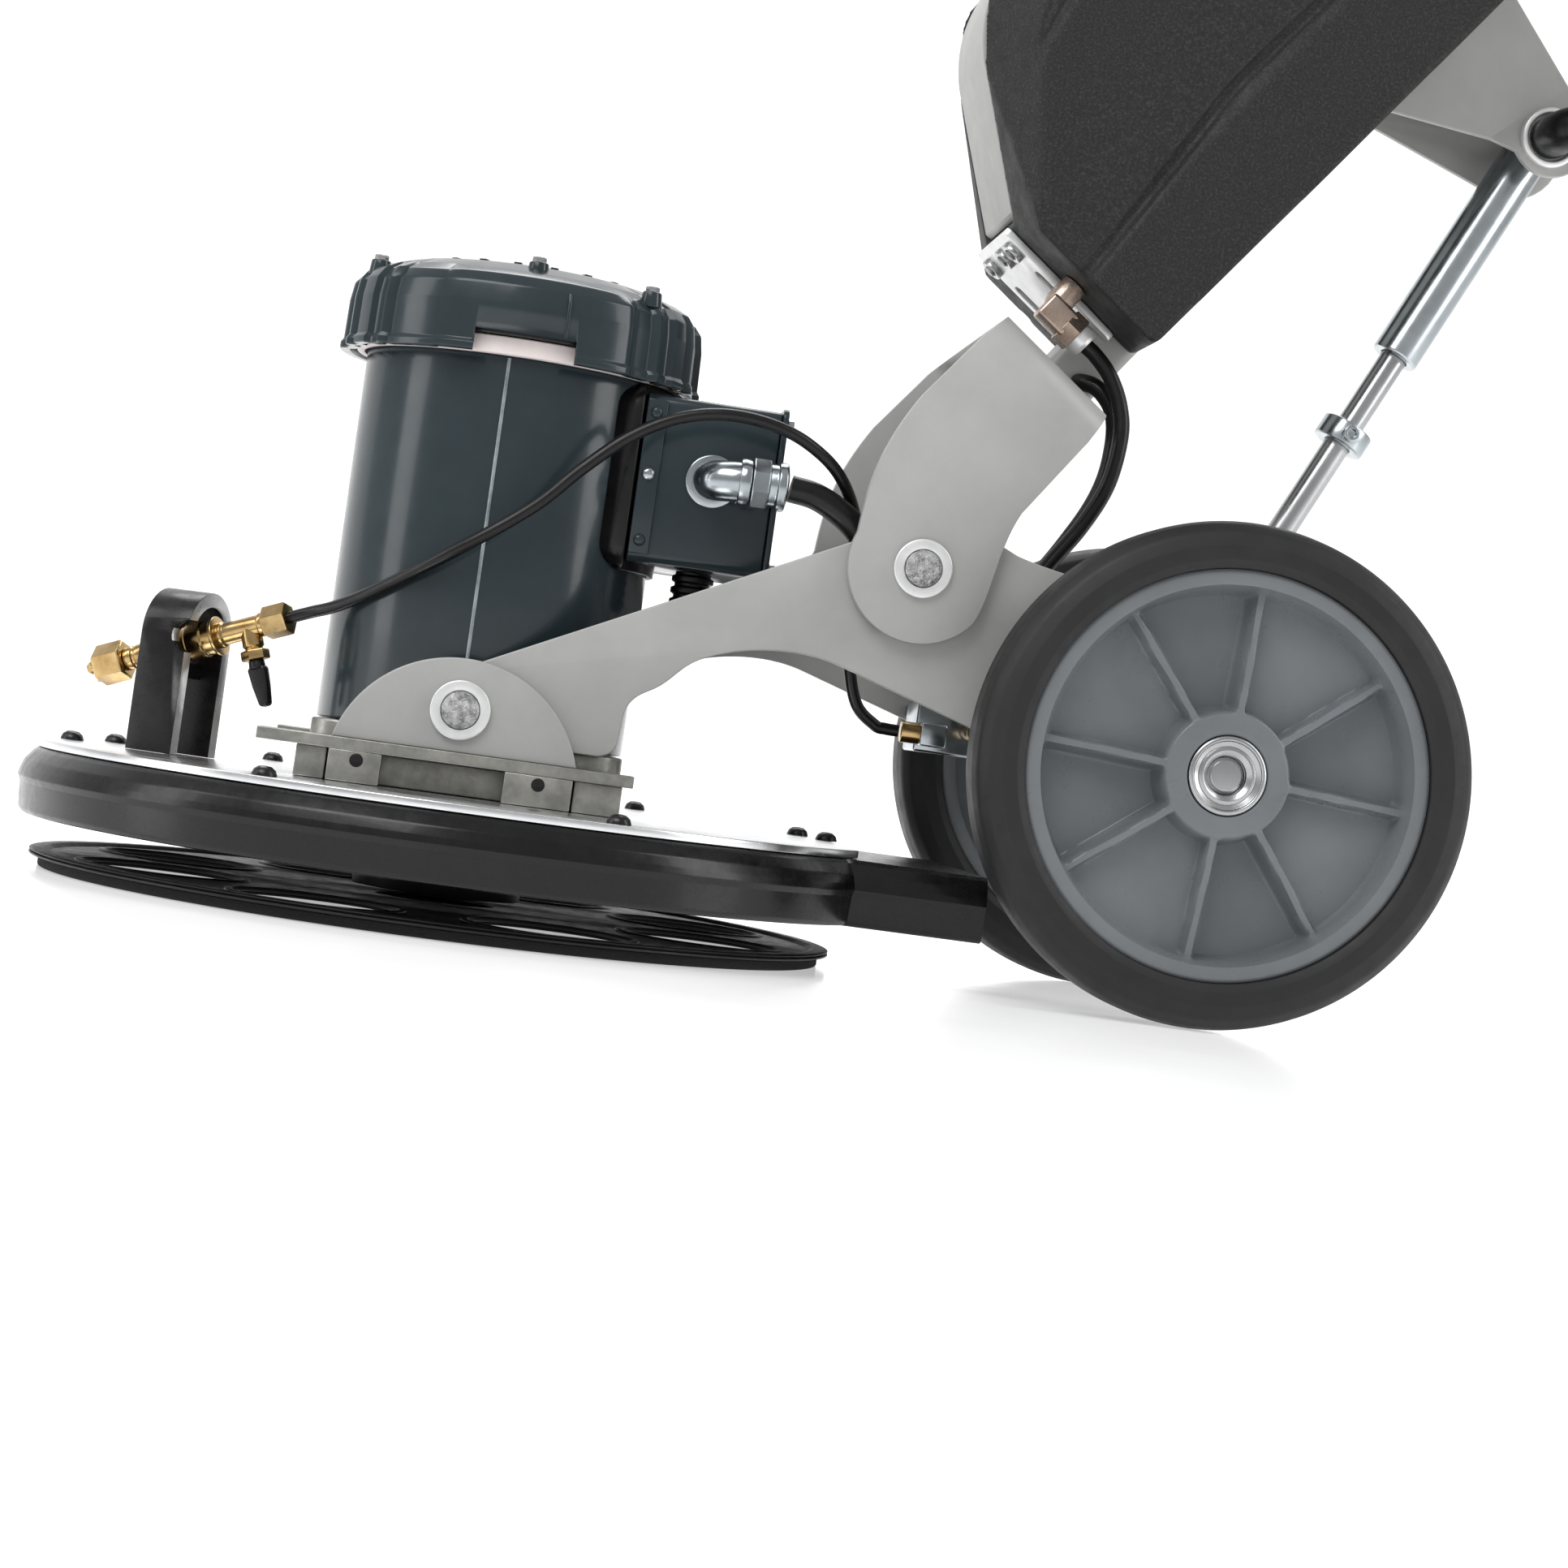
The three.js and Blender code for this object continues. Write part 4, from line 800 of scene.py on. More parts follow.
arm_line = [(-22, 93.4), (63, 93.4)]
arm_line += quad((63, 93.4), (71.5, 94), (73, 102)) + [(73.8, 114)]
arm_line += quad((73.8, 114), (74.5, 124), (84, 129))
arm_line += bezier((84, 129), (97, 135.5), (98, 145), (112, 150.5))
arm_line += bezier((112, 150.5), (132, 159.5), (160, 162), (180, 155.5), 14) + [(330, 109)]
arm_line += arc(AXLE_X, AXLE_Z, 31, 216, 410, 40) + [(322, 206)]
arm_line += quad((322, 206), (312, 215), (298, 217)) + quad((298, 217), (276, 220), (262, 224)) + [(228,
    239)]
arm_line += quad((228, 239), (218, 243), (209, 235)) + [(-13, 126)]
arm_line += quad((-13, 126), (-27, 119), (-27, 108)) + [(-27, 98)]
for side, s in SIDES:
    piece(plate("side_arm_" + side, arm_line, *sorted((84 * s, 91 * s)), "frame_paint", edge=0.8), "frame",
          "arm_" + side, slot="frame_paint")

tilt = [pivot_end("a", TILT_X, TILT_Z, s, 60) for s in (-1, 1)]
tilt.append(lathe("c", [(0, -83.6), (13, -83.6), (13, 83.6), (0, 83.6)], "zinc",
                  axis_matrix((TILT_X, 0, TILT_Z), (0, 1, 0)), 0.8, 64))
whole("tilt_pin", tilt, "frame", "tilt_shaft", slot="zinc")


def axle_sleeve():
    """Tube between the arms with two slotted lugs for the strut's foot."""
    parts = [lathe("a", [(9.8, -83.7), (17, -83.7), (17, 83.7), (9.8, 83.7)], "frame_paint",
                   axis_matrix((AXLE_X, 0, AXLE_Z), (0, 1, 0)), 0.8, 64)]
    lug = [(AXLE_X - 14, AXLE_Z + 9), (AXLE_X + 14, AXLE_Z + 9), (387, 161)] + quad((387, 161), (385, 174),
        (367, 174))
    lug += quad((367, 174), (349, 174), (347, 161))
    slot = arc(373.5, 154, 6.5, -115, 65, 12) + arc(360.5, 160, 6.5, 65, 245, 12)
    for low in (-14, 9):
        parts.append(plate("l", lug, low, low + 5, "frame_paint", holes=(slot,), edge=0.7))
    return merge("axle_sleeve", parts)


piece(axle_sleeve(), "frame", "axle_tube", slot="frame_paint")

axle_parts = [lathe("x0", [(0, -146.6), (7.6, -146.6, 0.8), (9.5, -145.2, 0.6), (9.5, 145.2, 0.6),
                           (7.6, 146.6, 0.8),
                           (0, 146.6)], "steel", axis_matrix((AXLE_X, 0, AXLE_Z), (0, 1, 0)), 0.5, 64)]
for s in (-1, 1):
    axle_parts.append(lathe("x1", [(9.7, 143), (13, 143), (13, 145), (9.7, 145)], "zinc",
                            axis_matrix((AXLE_X, 0, AXLE_Z), (0, s, 0)), 0.4, 48))
whole("wheel_axle", axle_parts, "frame", "axle", slot="steel")

# ---------------------------------------------------------------- wheels
RIBS = (127.4, 85.8, 37.4, -4.2, -52.6, -94.2, -142.6, 175.8)
DEEP = ((85.8, 127.4), (-4.2, 37.4), (-94.2, -52.6), (175.8, 217.4))
RIM = 102.4
FACE = 154.0


def face_height(r, deg):
    """How far the moulded wheel face lies below its rim at a radius and an angle."""
    dish = 17 * step(r, 95.5, 90) - 13.5 * step(r, 35, 31.5) + 1.2 * step(r, 94.4, 95.4)
    ribs = 0
    for angle in RIBS:
        off = math.sin(RAD(deg - angle)) * r if math.cos(RAD(deg - angle)) > 0 else 999
        ribs = max(ribs, 1 - step(abs(off), 1.7, 3.3))
    deep = 0
    for low, high in DEEP:
        a = math.sin(RAD(deg - low)) * r if math.cos(RAD(deg - low)) > -0.2 else -999
        b = math.sin(RAD(high - deg)) * r if math.cos(RAD(high - deg)) > -0.2 else -999
        deep = max(deep, step(min(a, b), 2.4, 5.2))
    floor = dish + 5.5 * deep * step(r, 30, 35) * step(r, 95, 90.5)
    rib_top = 4.5 + 5 * step(r, 45, 92)
    inside = step(r, 29, 33) * step(r, 96, 92)
    return floor + (rib_top - floor) * ribs * inside if floor > rib_top else floor


def wheel_core(side, s):
    radii = [20.3, 21, 23, 26, 28.5, 30, 31, 32, 33, 34, 35, 36.5, 39, 43, 48, 54, 60, 66, 72, 78, 83, 87,
             89, 90, 91,
             92, 93, 94, 94.7, 95.4, 96, 97, 98.4, 100, 101.4, 102.1]
    count = 480
    bm = bmesh.new()
    rows = []
    for r in radii:
        drop = 0.7 if r > 102 or r < 20.5 else 0
        row = []
        for k in range(count):
            deg = 360 * k / count
            row.append(bm.verts.new((AXLE_X + r * math.cos(RAD(deg)),
                                     s * (FACE - face_height(r, deg) - drop),
                                     AXLE_Z + r * math.sin(RAD(deg)))))
        rows.append(row)
    back = [(RIM, FACE - 2), (RIM, 111), (101, 110), (95, 110), (94, 127), (31, 127), (30, 113),
            (20.3, 113)]
    for r, y in back:
        rows.append([bm.verts.new((AXLE_X + r * math.cos(2 * PI * k / count), s * y,
                                   AXLE_Z + r * math.sin(2 * PI * k / count))) for k in range(count)])
    for a, b in zip(rows, rows[1:] + rows[:1]):
        for k in range(count):
            j = (k + 1) % count
            bm.faces.new((a[k], a[j], b[j], b[k]))
    return new_piece("wheel_disc_" + side, bm, "core_grey", angle=50)


TYRE = [(RIM + 0.3, 109, 1), (107, 107, 1.2), (114, 107, 2), (121, 109.5, 6), (125.5, 115, 8),
        (127, 124, 10),
        (127, 140, 10), (125.5, 149, 8), (121, 154.5, 6), (114, 157, 2), (107, 157, 1.2),
        (RIM + 0.3, 155, 1)]
for side, s in SIDES:
    hub = axis_matrix((AXLE_X, 0, AXLE_Z), (0, s, 0))
    piece(wheel_core(side, s), "wheel_" + side, "wheel_core_" + side, slot="core_grey")
    piece(lathe("tread_" + side, TYRE, "tyre_rubber", hub, 1, 192), "wheel_" + side, "tyre_" + side,
          slot="tyre_rubber")
    rings = [
        lathe("r", [(14.2, 141), (19.9, 141), (19.9, 150.6, 1.2), (17.6, 151.4, 0.8), (17, 150, 0.5),
                    (14.2, 149)],
              "steel", hub, 0.5, 64),
        lathe("q", [(10, 129), (14.6, 129), (14.6, 149.4), (12.6, 150, 0.5), (10, 148)], "steel", hub, 0.4,
              64),
    ]
    whole("hub_bearing_" + side, rings, "wheel_" + side, "wheel_bearing_" + side, slot="steel")

# ---------------------------------------------------------------- handle
WEB = 125.3
GUARD_HALF = 40
CHEEK_IN, CHEEK_OUT = 91.8, 99


def yoke():
    """Bent sheet: two cheeks joined by a web, cut to the cheeks' outline."""
    r = 15
    channel = [(-CHEEK_OUT, -60), (-CHEEK_IN, -60)] + arc(-CHEEK_OUT + r, WEB - r, r - 7.2, 180, 90, 10)
    channel += arc(CHEEK_OUT - r, WEB - r, r - 7.2, 90, 0, 10) + [(CHEEK_IN, -60), (CHEEK_OUT, -60)]
    channel += arc(CHEEK_OUT - r, WEB - r, r, 0, 90, 14) + arc(-CHEEK_OUT + r, WEB - r, r, 90, 180, 14)
    sheet = plate("sheet", channel, -80, 60, "frame_paint", edge=0.01, plane="YZ", segs=1)
    outline = [(-57.5, WEB + 3), (-60.5, 108), (-61.5, 64)]
    outline += bezier((-61.5, 64), (-59, 30), (-50, 12), (-37, -9), 16)
    outline += arc(0, 0, 38, 193.9, 356.4, 40)
    outline += bezier((38, -2.4), (36, 14), (20, 34), (16.6, 56), 14) + [(15.6, 106), (13.3, WEB + 3)]
    side = plate("side", outline, -130, 130, "frame_paint", edge=0.01, segs=1)
    boolean(sheet, side, "INTERSECT")
    return new_piece("handle_cheeks", reopened(sheet, joined=True), "frame_paint", COLUMN, bevel=0.7,
                     segments=2,
                     bevel_angle=40)


piece(yoke(), "handle", "handle_yoke", slot="frame_paint")


def column():
    outer = rounded([(-24, -30), (7, -30), (7, 30), (-24, 30)], 5, 5)
    inner = rounded([(-21, -27), (4, -27), (4, 27), (-21, 27)], 3, 4)
    parts = [plate("tube", outer, WEB + 0.3, 940, "frame_paint", COLUMN, holes=(inner,), edge=0.4,
                   plane="XY")]
    for s, up in ((880, 1), (640, -1)):
        hook = [(6, s), (23, s), (27, s + 4 * up), (31, s + 22 * up), (37, s + 22 * up), (33, s - 2 * up),
                (25, s - 6 * up), (6, s - 6 * up)]
        parts.append(plate("hook", rounded(hook, 2.5, 4), -9, 9, "black_paint", COLUMN, edge=1.0))
    return merge("handle_tube", parts)


piece(column(), "handle", "handle_column", slot="frame_paint")

TANK_SIDE = [(-85, 168.8, 3), (4, 168.8, 2), (6.5, 171.8, 2), (9.5, 300, 0), (11, 430, 60), (14, 566, 8),
             (10, 576, 8),
             (-166, 446, 26), (-188, 430, 26), (-188, 280, 40), (-187, 252, 30), (-160, 222, 12),
             (-91, 173.5, 4)]
TANK_PLAN = [(-195, -83), (-150, -84, 24), (-53, -85, 5), (-46, -88, 4), (26, -88), (26, 88), (-46, 88, 4),
             (-53, 85, 5), (-150, 84, 24), (-195, 83)]


BACK_GROOVE = [(-43.5, 87.6, 166), (-45.7, 87, 175), (-48.6, 86.4, 206), (-52.9, 85.4, 251), (-57, 85, 293),
               (-56.5, 85, 328), (-55.5, 85, 370), (-55, 85, 440), (-55, 85, 520)]
FRONT_GROOVE = [(-124, 85, 184), (-134.2, 85, 207), (-143.7, 84.8, 240), (-150, 84.4, 264), (-153, 84, 300),
                (-154, 84, 420)]


def ahead_of_tank(d, top):
    """Everything in front of the tank's front line, which is moved in by d."""
    line = [(-230, 140), (-91 + 0.575 * d, 140), (-91 + 0.575 * d, 173.5 + 0.818 * d),
            (-160 + 0.575 * d, 222 + 0.818 * d)]
    line += quad(line[-1], (-187 + 0.95 * d, 244 + d / 2), (-188 + d, 280), 14)
    return line + [(-188 + d, top), (-230, top)]


def front_line(d):
    """The tank's front from the foot upwards, moved in by d."""
    return ahead_of_tank(d, 400)[2:-1]


def tank():
    """A hull over a deep middle and two flanks set back from it, then cut, grooved and softened."""
    side = rounded(TANK_SIDE, 0, 8)
    flanks = plate("flanks", side, -88, 88, "tank_black", edge=0.01, segs=1)
    boolean(flanks, plate("ahead", ahead_of_tank(26, 700), -120, 120, "tank_black", edge=0.01, segs=1))
    middle = plate("middle", side, -GUARD_HALF, GUARD_HALF, "tank_black", edge=0.01, segs=1)
    bm = reopened(merge("blank", [flanks, middle]))
    bmesh.ops.delete(bm, geom=bm.faces[:] + bm.edges[:], context="EDGES_FACES")
    result = bmesh.ops.convex_hull(bm, input=bm.verts)
    bmesh.ops.delete(bm, geom=[v for v in result["geom_interior"] if isinstance(v, bmesh.types.BMVert)],
                     context="VERTS")
    body = new_piece("tank", bm, "tank_black")
    boolean(body, plate("plan", rounded(TANK_PLAN, 0, 6), 100, 640, "tank_black", edge=0.01, plane="XY",
                        segs=1),
            "INTERSECT")
    boolean(body, block("channel", -25.5, 60, -31.5, 31.5, 100, 700, "tank_black", edge=0))
    boolean(body, plate("recess", ahead_of_tank(4.2, 402), -40.8, 40.8, "tank_black", edge=0.01, segs=1))
    for s in (-1, 1):
        for line, radius in ((BACK_GROOVE, 4.0), (FRONT_GROOVE, 3.8)):
            groove = curve_through([(t, y * s, z) for t, y, z in line], 10)
            boolean(body, tube("groove", groove, radius, "tank_black", sides=12))
    boolean(body, tube("neck", [(-106, 0, 480), (-106, 0, 700)], 40, "tank_black", sides=48))
    mod = body.modifiers.new("skin", "REMESH")
    mod.mode = "VOXEL"
    mod.voxel_size = 1.8 * MM
    mod.use_smooth_shade = True
    soft = body.modifiers.new("soft", "SMOOTH")
    soft.factor = 0.5
    soft.iterations = 4
    bake(body)
    body.data.transform(COLUMN)
    body.data.materials.clear()
    body.data.materials.append(M["tank_black"])
    body.data.shade_smooth()
    body.name = "solution_tank"
    return body


piece(tank(), "handle", "tank_shell", slot="tank_black")

guard_line = front_line(0.2) + list(reversed(front_line(3.2)))
guard = plate("tank_guard", guard_line, -GUARD_HALF, GUARD_HALF, "frame_paint", COLUMN, edge=0.5)
boolean(guard, block("trim", -100, 0, -60, 60, 100, 175.5, "frame_paint", COLUMN, edge=0))
piece(guard, "handle", "front_guard", slot="cover_grey")


def lid():
    slope = Matrix.Translation((-0.106, 0, 0.4905)) @ Matrix.Rotation(RAD(-LEAN), 4, "Y")
    parts = [
        plate("l0", rounded([(-62, -48), (62, -48), (62, 48), (-62, 48)], 14, 8), 0.5, 5.5, "tank_black",
              COLUMN @ slope, edge=1.6, plane="XY"),
        plate("l1", rounded([(-48, -34), (48, -34), (48, 34), (-48, 34)], 10, 8), 5.2, 7.6, "tank_black",
              COLUMN @ slope, edge=1.1, plane="XY"),
        block("l2", -70, -60, -12, 12, 1.2, 4.6, "tank_black", COLUMN @ slope, edge=1.4),
    ]
    return merge("tank_cap", parts)


piece(lid(), "lid", "tank_lid", slot="tank_black")


def mount_plate():
    """Plate under the tank with its slots, set screws and nuts."""
    outline = rounded([(-89, -42), (-30, -42, 10), (-9, -40, 16), (-9, -31, 2), (-24.3, -31, 0),
                       (-24.3, 31, 0),
                       (-9, 31, 2), (-9, 40, 16), (-30, 42, 10), (-89, 42)], 3, 6)
    slots = [rounded([(-62, y - 5), (-38, y - 5), (-38, y + 5), (-62, y + 5)], 4.8, 8) for y in (-30, 30)]
    parts = [plate("m0", outline, 164.4, 168.4, "washer", COLUMN, holes=slots, edge=0.4, plane="XY")]
    for y in (-31, -7, 31):
        spot = COLUMN @ Matrix.Translation((-0.0776, y * MM, 0))
        parts.append(lathe("m1", [(3.6, 161), (6.4, 161), (6.4, 164.6), (3.6, 164.6)], "steel", spot, 0.5,
                           32))
        parts.append(lathe("m2", [(0, 159.8), (3, 159.8), (3, 164.6), (0, 164.6)], "bolt_end", spot, 0.3,
                           20))
    return merge("tank_bracket", parts)


piece(mount_plate(), "handle", "tank_mount_plate", slot="zinc")

elbow_line = curve_through([(-43, -55, 168), (-43, -55, 160), (-42.4, -55, 155), (-39, -55, 151.4),
                            (-30, -55, 150)], 8)
along = COLUMN @ Matrix.Translation((0, -0.055, 0.150)) @ Matrix.Rotation(RAD(90), 4, "Y")
outlet = [
    tube("o", elbow_line, 7.4, "pale_brass", COLUMN, sides=36),
    block("o1", -48, -30, -63, -47, 142.6, 157.4, "pale_brass", COLUMN, edge=1.8, segments=4),
    prism("o2", 6, 10.4, -33, -24, "pale_brass", along, 0.5, 0.9),
    lathe("o3", [(4, -25), (8.4, -25), (8.6, -19, 1.4), (7.2, -17, 0.8), (4, -16.8)], "washer", along, 0.6,
          48),
]
whole("outlet_fitting", outlet, "handle", "outlet_elbow", slot="brass")


def gusset():
    """Folded strut bracket: a web on the column, a far cheek, and a near cheek bent out to its lobe."""
    bore = arc(86, 417, 7.6, 0, 350, 35)
    near = [(7.3, 361.7), (64, 395)] + arc(87, 418.5, 21.5, 245, 436, 40) + [(73.5, 446.6), (7.3, 463)]
    far = [(7.3, 366), (82, 388.3)] + quad((82, 388.3), (110, 396), (110, 418)) + quad((110, 418),
        (109, 440), (88, 443))
    far += [(7.3, 463)]
    cheek = plate("g", near, -26, -21.6, "frame_paint", holes=(bore,), edge=0.7)
    bm = reopened(cheek)
    foot, top = Vector((63, 0, 395)), Vector((74.5, 0, 443))
    along = (top - foot).normalized()
    across = Vector((along.z, 0, -along.x))
    for shift in (0, 16):
        bmesh.ops.bisect_plane(bm, geom=bm.verts[:] + bm.edges[:] + bm.faces[:],
                               plane_co=foot + across * shift, plane_no=across)
    for v in bm.verts:
        past = (v.co - foot).dot(across)
        if past > 0:
            v.co.y -= min(past, 16) * 0.28
    parts = [
        new_piece("g", bm, "frame_paint", COLUMN, angle=6),
        plate("g1", far, 21.6, 26, "frame_paint", COLUMN, holes=(bore,), edge=0.7),
        plate("g2", [(7.3, 364.5), (11.3, 366.8), (11.3, 456), (80, 440), (80, 444.6), (7.3, 462.6)], -22,
              22,
              "frame_paint", COLUMN, edge=0.5),
    ]
    return merge("strut_bracket", parts)


piece(gusset(), "handle", "rear_gusset", slot="frame_paint")


# ---------------------------------------------------------------- head of the handle
def head():
    side = rounded([(-40, 940.3, 6), (34, 940.3, 6), (40, 1000, 14), (30, 1030, 16), (-40, 1030, 18),
                    (-52, 990, 12)],
                   8, 8)
    shell = plate("h", side, -74, 74, "black_paint", edge=0.01, segs=1)
    boolean(shell, plate("h1", rounded([(-60, -74), (50, -74), (50, 74), (-60, 74)], 18, 8), 900, 1100,
                         "black_paint",
                         edge=0.01, plane="XY", segs=1), "INTERSECT")
    boolean(shell, block("h2", -43, -17, -13, 13, 1022, 1050, "black_paint", edge=0))
    boolean(shell, block("h3", -8, 46, -60, 60, 930, 956, "black_paint", edge=0))
    shell = new_piece("h", reopened(shell, joined=True), "black_paint", COLUMN, bevel=2.2, segments=3,
                      bevel_angle=30)
    bar = lathe("bar", [(0, -204), (12.5, -204), (12.5, 204), (0, 204)], "steel",
                COLUMN @ axis_matrix((-6, 0, 996), (0, 1, 0)), 0.8, 48)
    parts = [shell, bar]
    for y in (-55, 55):
        for s in (968, 1012):
            parts.append(screw_dome("hs", -53.5 + (s - 968) * 0.08, y, s, 4, 2, "steel", COLUMN,
                                    (-1, 0, 0)))
    gland = lathe("gl", [(0, -10), (11, -10), (11, 4, 1), (9, 5), (9, 14, 2), (4.5, 15), (0, 15)],
                  "rubber_black",
                  COLUMN @ axis_matrix((40, -40, 985), (1, 0, 0)), 0.6, 32)
    parts.append(gland)
    return merge("switch_housing", parts)


piece(head(), "handle", "handle_head", slot="black_paint")

GRIP = [(12.8, 78), (19.4, 78, 1.5), (19.4, 82, 1.5)]
for k in range(14):
    GRIP += [(16.8, 86.5 + k * 8, 0.8), (16.8, 92 + k * 8, 0.8), (15.9, 92.9 + k * 8, 0.3),
             (15.9, 93.7 + k * 8, 0.3)]
GRIP += [(16.8, 199), (19.2, 203, 2), (19.2, 208, 2), (0, 209), (0, 205.2), (12.8, 205.2)]
for side, s in SIDES:
    grip_at = COLUMN @ axis_matrix((-6, 0, 996), (0, s, 0))
    piece(lathe("hand_grip_" + side, GRIP, "rubber_black", grip_at, 0.6, 64), "handle", "grip_" + side,
          slot="rubber_black")


def trigger():
    arm = rounded([(10, 943), (24, 943), (34, 972), (31, 992), (22, 992), (22, 974)], 3, 5)
    parts = [lathe("t", [(0, -84), (4, -84), (4, 84), (0, 84)], "black_paint",
                   COLUMN @ axis_matrix((16, 0, 950), (0, 1, 0)), 0.5, 24)]
    for s in (-1, 1):
        parts.append(plate("t1", arm, *sorted((76 * s, 84 * s)), "black_paint", COLUMN, edge=1.6))
        parts.append(block("t2", 22, 31, *sorted((78 * s, 180 * s)), 984, 992, "black_paint", COLUMN,
                           edge=2.4,
                           segments=4))
    return merge("start_bail", parts)


piece(trigger(), "trigger", "trigger_bar", slot="black_paint")
button_at = COLUMN @ Matrix.Translation((-0.030, 0, 0))
piece(lathe("safety_button", [(0, 1034.2), (9, 1034, 2), (11.8, 1031.5, 2), (11.8, 1019.8), (14.2, 1019.6),
                              (14.2, 1016),
                              (0, 1016)], "core_grey", button_at, 0.5, 48), "button", "lock_button",
                              slot="core_grey")

# ---------------------------------------------------------------- folding strut
TOP = COLUMN @ Vector((0.086, 0, 0.417))
FOOT = Vector((0.367, 0, 0.157))
LENGTH = (FOOT - TOP).length / MM
STRUT = Matrix.Translation(TOP) @ Matrix.Rotation(math.atan2(TOP.x - FOOT.x, TOP.z - FOOT.z), 4, "Y")
ACROSS = axis_matrix((0, 0, 0), (0, 1, 0))
upper = [
    lathe("u", [(8, -140.4), (12.6, -140.4, 0.8), (13, -139, 0.6), (13, 6, 6), (8, 9, 3)], "zinc", STRUT,
          0.5, 64),
    lathe("u1", [(7.6, -14.6), (11, -14.6), (11, 14.6), (7.6, 14.6)], "zinc",
          STRUT @ ACROSS, 0.6, 48),
]
whole("strut_sleeve", upper, "strut_upper", "strut_tube", slot="zinc")
foot_at = STRUT @ Matrix.Translation((0, 0, -LENGTH * MM)) @ ACROSS
lower = [
    lathe("d", [(0, -46), (7.5, -46), (7.5, -LENGTH + 4), (0, -LENGTH + 4)][::-1], "steel", STRUT, 0.6, 64),
    lathe("d1", [(0, -8), (7.4, -8), (7.4, 8), (0, 8)], "steel", foot_at, 0.6, 40),
    lathe("d2", [(0, -18), (8, -18), (8, -14.7), (5.2, -14.7), (5.2, 14.7), (8, 14.7), (8, 18), (0, 18)],
          "steel",
          foot_at, 0.6, 40),
]
whole("strut_inner_rod", lower, "strut_lower", "strut_rod", slot="steel")
collar = [
    lathe("k", [(7.7, -198), (14.5, -198), (14.5, -186), (7.7, -186)], "zinc", STRUT, 0.9, 64),
    lathe("k1", [(0, 13.5), (4.6, 13.5), (4.6, 18.5, 0.8), (2.6, 18.6), (2.2, 16.6), (0, 16.6)], "zinc",
          STRUT @ axis_matrix((0, 0, -192), (0, -1, 0)), 0.3, 32),
]
whole("strut_stop_collar", collar, "strut_lower", "strut_collar", slot="zinc")

lever_line = curve_through([(86, -31, 417), (86, -46, 417), (88, -55, 420), (95, -60, 430), (120, -62, 477),
                            (132, -62, 499)], 10)
PIVOT = COLUMN @ Matrix.Translation((0.086, 0, 0.417))
NEAR_FACE = PIVOT @ axis_matrix((0, 0, 0), (0, -1, 0))
lever = [
    tube("v", lever_line, 11.6, "rubber_black", COLUMN, sides=36),
    lathe("v1", [(0, -32), (6.8, -32), (6.8, 34), (0, 34)], "zinc", PIVOT @ ACROSS, 0.6, 40),
    lathe("v2", [(6, 29.6), (16.4, 29.6), (16.4, 33.6, 1.4), (13.4, 34.4, 0.8), (12.6, 31, 1), (6, 31)],
          "washer",
          NEAR_FACE, 0.6, 64),
    lathe("v3", [(6, 26.4), (10, 26.4), (10, 32.8, 1), (6, 33)], "washer", PIVOT @ ACROSS,
          0.8, 48),
    lathe("v4", [(0, 0), (11.4, 0, 2), (12.4, 3), (12.4, 26), (10.6, 31, 4), (0, 32)], "rubber_black",
          COLUMN @ axis_matrix((116, -62, 470), (12, 0, 22)), 1, 48),
]
whole("folding_lever", lever, "lever", "lock_lever", slot="black_paint")

# ---------------------------------------------------------------- solution valve
valve = [
    block("y0", 232, 270, -20, 20, 119, 146, "zinc", edge=1.6),
    lathe("y1", [(0, 145), (13, 145), (13, 158, 2), (11, 163.5, 2), (0, 164)], "black_paint",
          Matrix.Translation((0.251, 0.006, 0)), 0.8, 48),
    block("y2", 240, 262, 18, 83.7, 138, 145, "zinc", edge=0.8),
    block("y3", 232, 246, -41.8, -19, 122, 134, "zinc", edge=1.2),
    lathe("y4", [(0, -19), (4.5, -19), (4.5, -43.8), (0, -43.8)][::-1], "brass",
          axis_matrix((260, 0, 132), (0, 1, 0)),
          0.4, 24),
    lathe("y5", [(0, 222.2), (5.6, 222.2), (5.6, 240), (0, 240)], "brass",
          axis_matrix((0, -34, 128), (1, 0, 0)), 0.4, 24),
]
whole("shutoff_valve", valve, "frame", "solution_valve", slot="zinc")

# ---------------------------------------------------------------- hoses and cable
SPRAY_ROUTE = [(-101, -26.7, 141.9), (-89, -32, 146.6), (-76, -42, 151.5), (-54, -64, 163.5),
               (-20, -87.5, 186),
               (15, -90, 213), (36, -90, 235), (58, -89, 255), (81, -88, 268), (105, -87, 273.5),
               (129, -85, 272),
               (150, -80, 265), (168, -73, 252), (181, -62, 230), (186, -54, 200), (188, -46, 166),
               (196, -38, 140),
               (208, -34.5, 129.5), (214, -34, 128.2), (221, -34, 128)]
LOWER_ROUTE = [(142.8, -78, 242), (156, -78, 240), (169, -77.5, 234), (181, -76.5, 225), (189, -76, 213)]
UPPER_ROUTE = [(190, -76, 211.5), (193, -76, 207), (198, -70, 192), (214, -55, 182), (244, -44, 188),
               (276, -43, 212),
               (298, -43.5, 245), (309, -44, 270), (312, -44, 293), (309.5, -43.5, 310), (301, -41, 321),
               (292.5, -33, 324.5), (291.4, -10, 324.9)]
FEED_ROUTE = [(287.6, -55, 341.3), (294.5, -55, 336.3), (303, -57, 326.5), (309.5, -60, 312),
              (312, -62, 295.4), (308.6, -61.5, 269.7),
              (297.8, -61, 246), (282, -62, 222), (268, -63, 196), (261, -62, 166), (260, -59, 144),
              (260, -52, 133),
              (260, -44.6, 132)]


def flexible(name, node, route, radius):
    """A hose drawn along its route from one body to the other, baked in world space and attached to neither.
    """
    obj = tube(name, curve_through(route, 10), radius, "rubber_black", sides=24)
    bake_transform(obj)
    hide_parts(node)


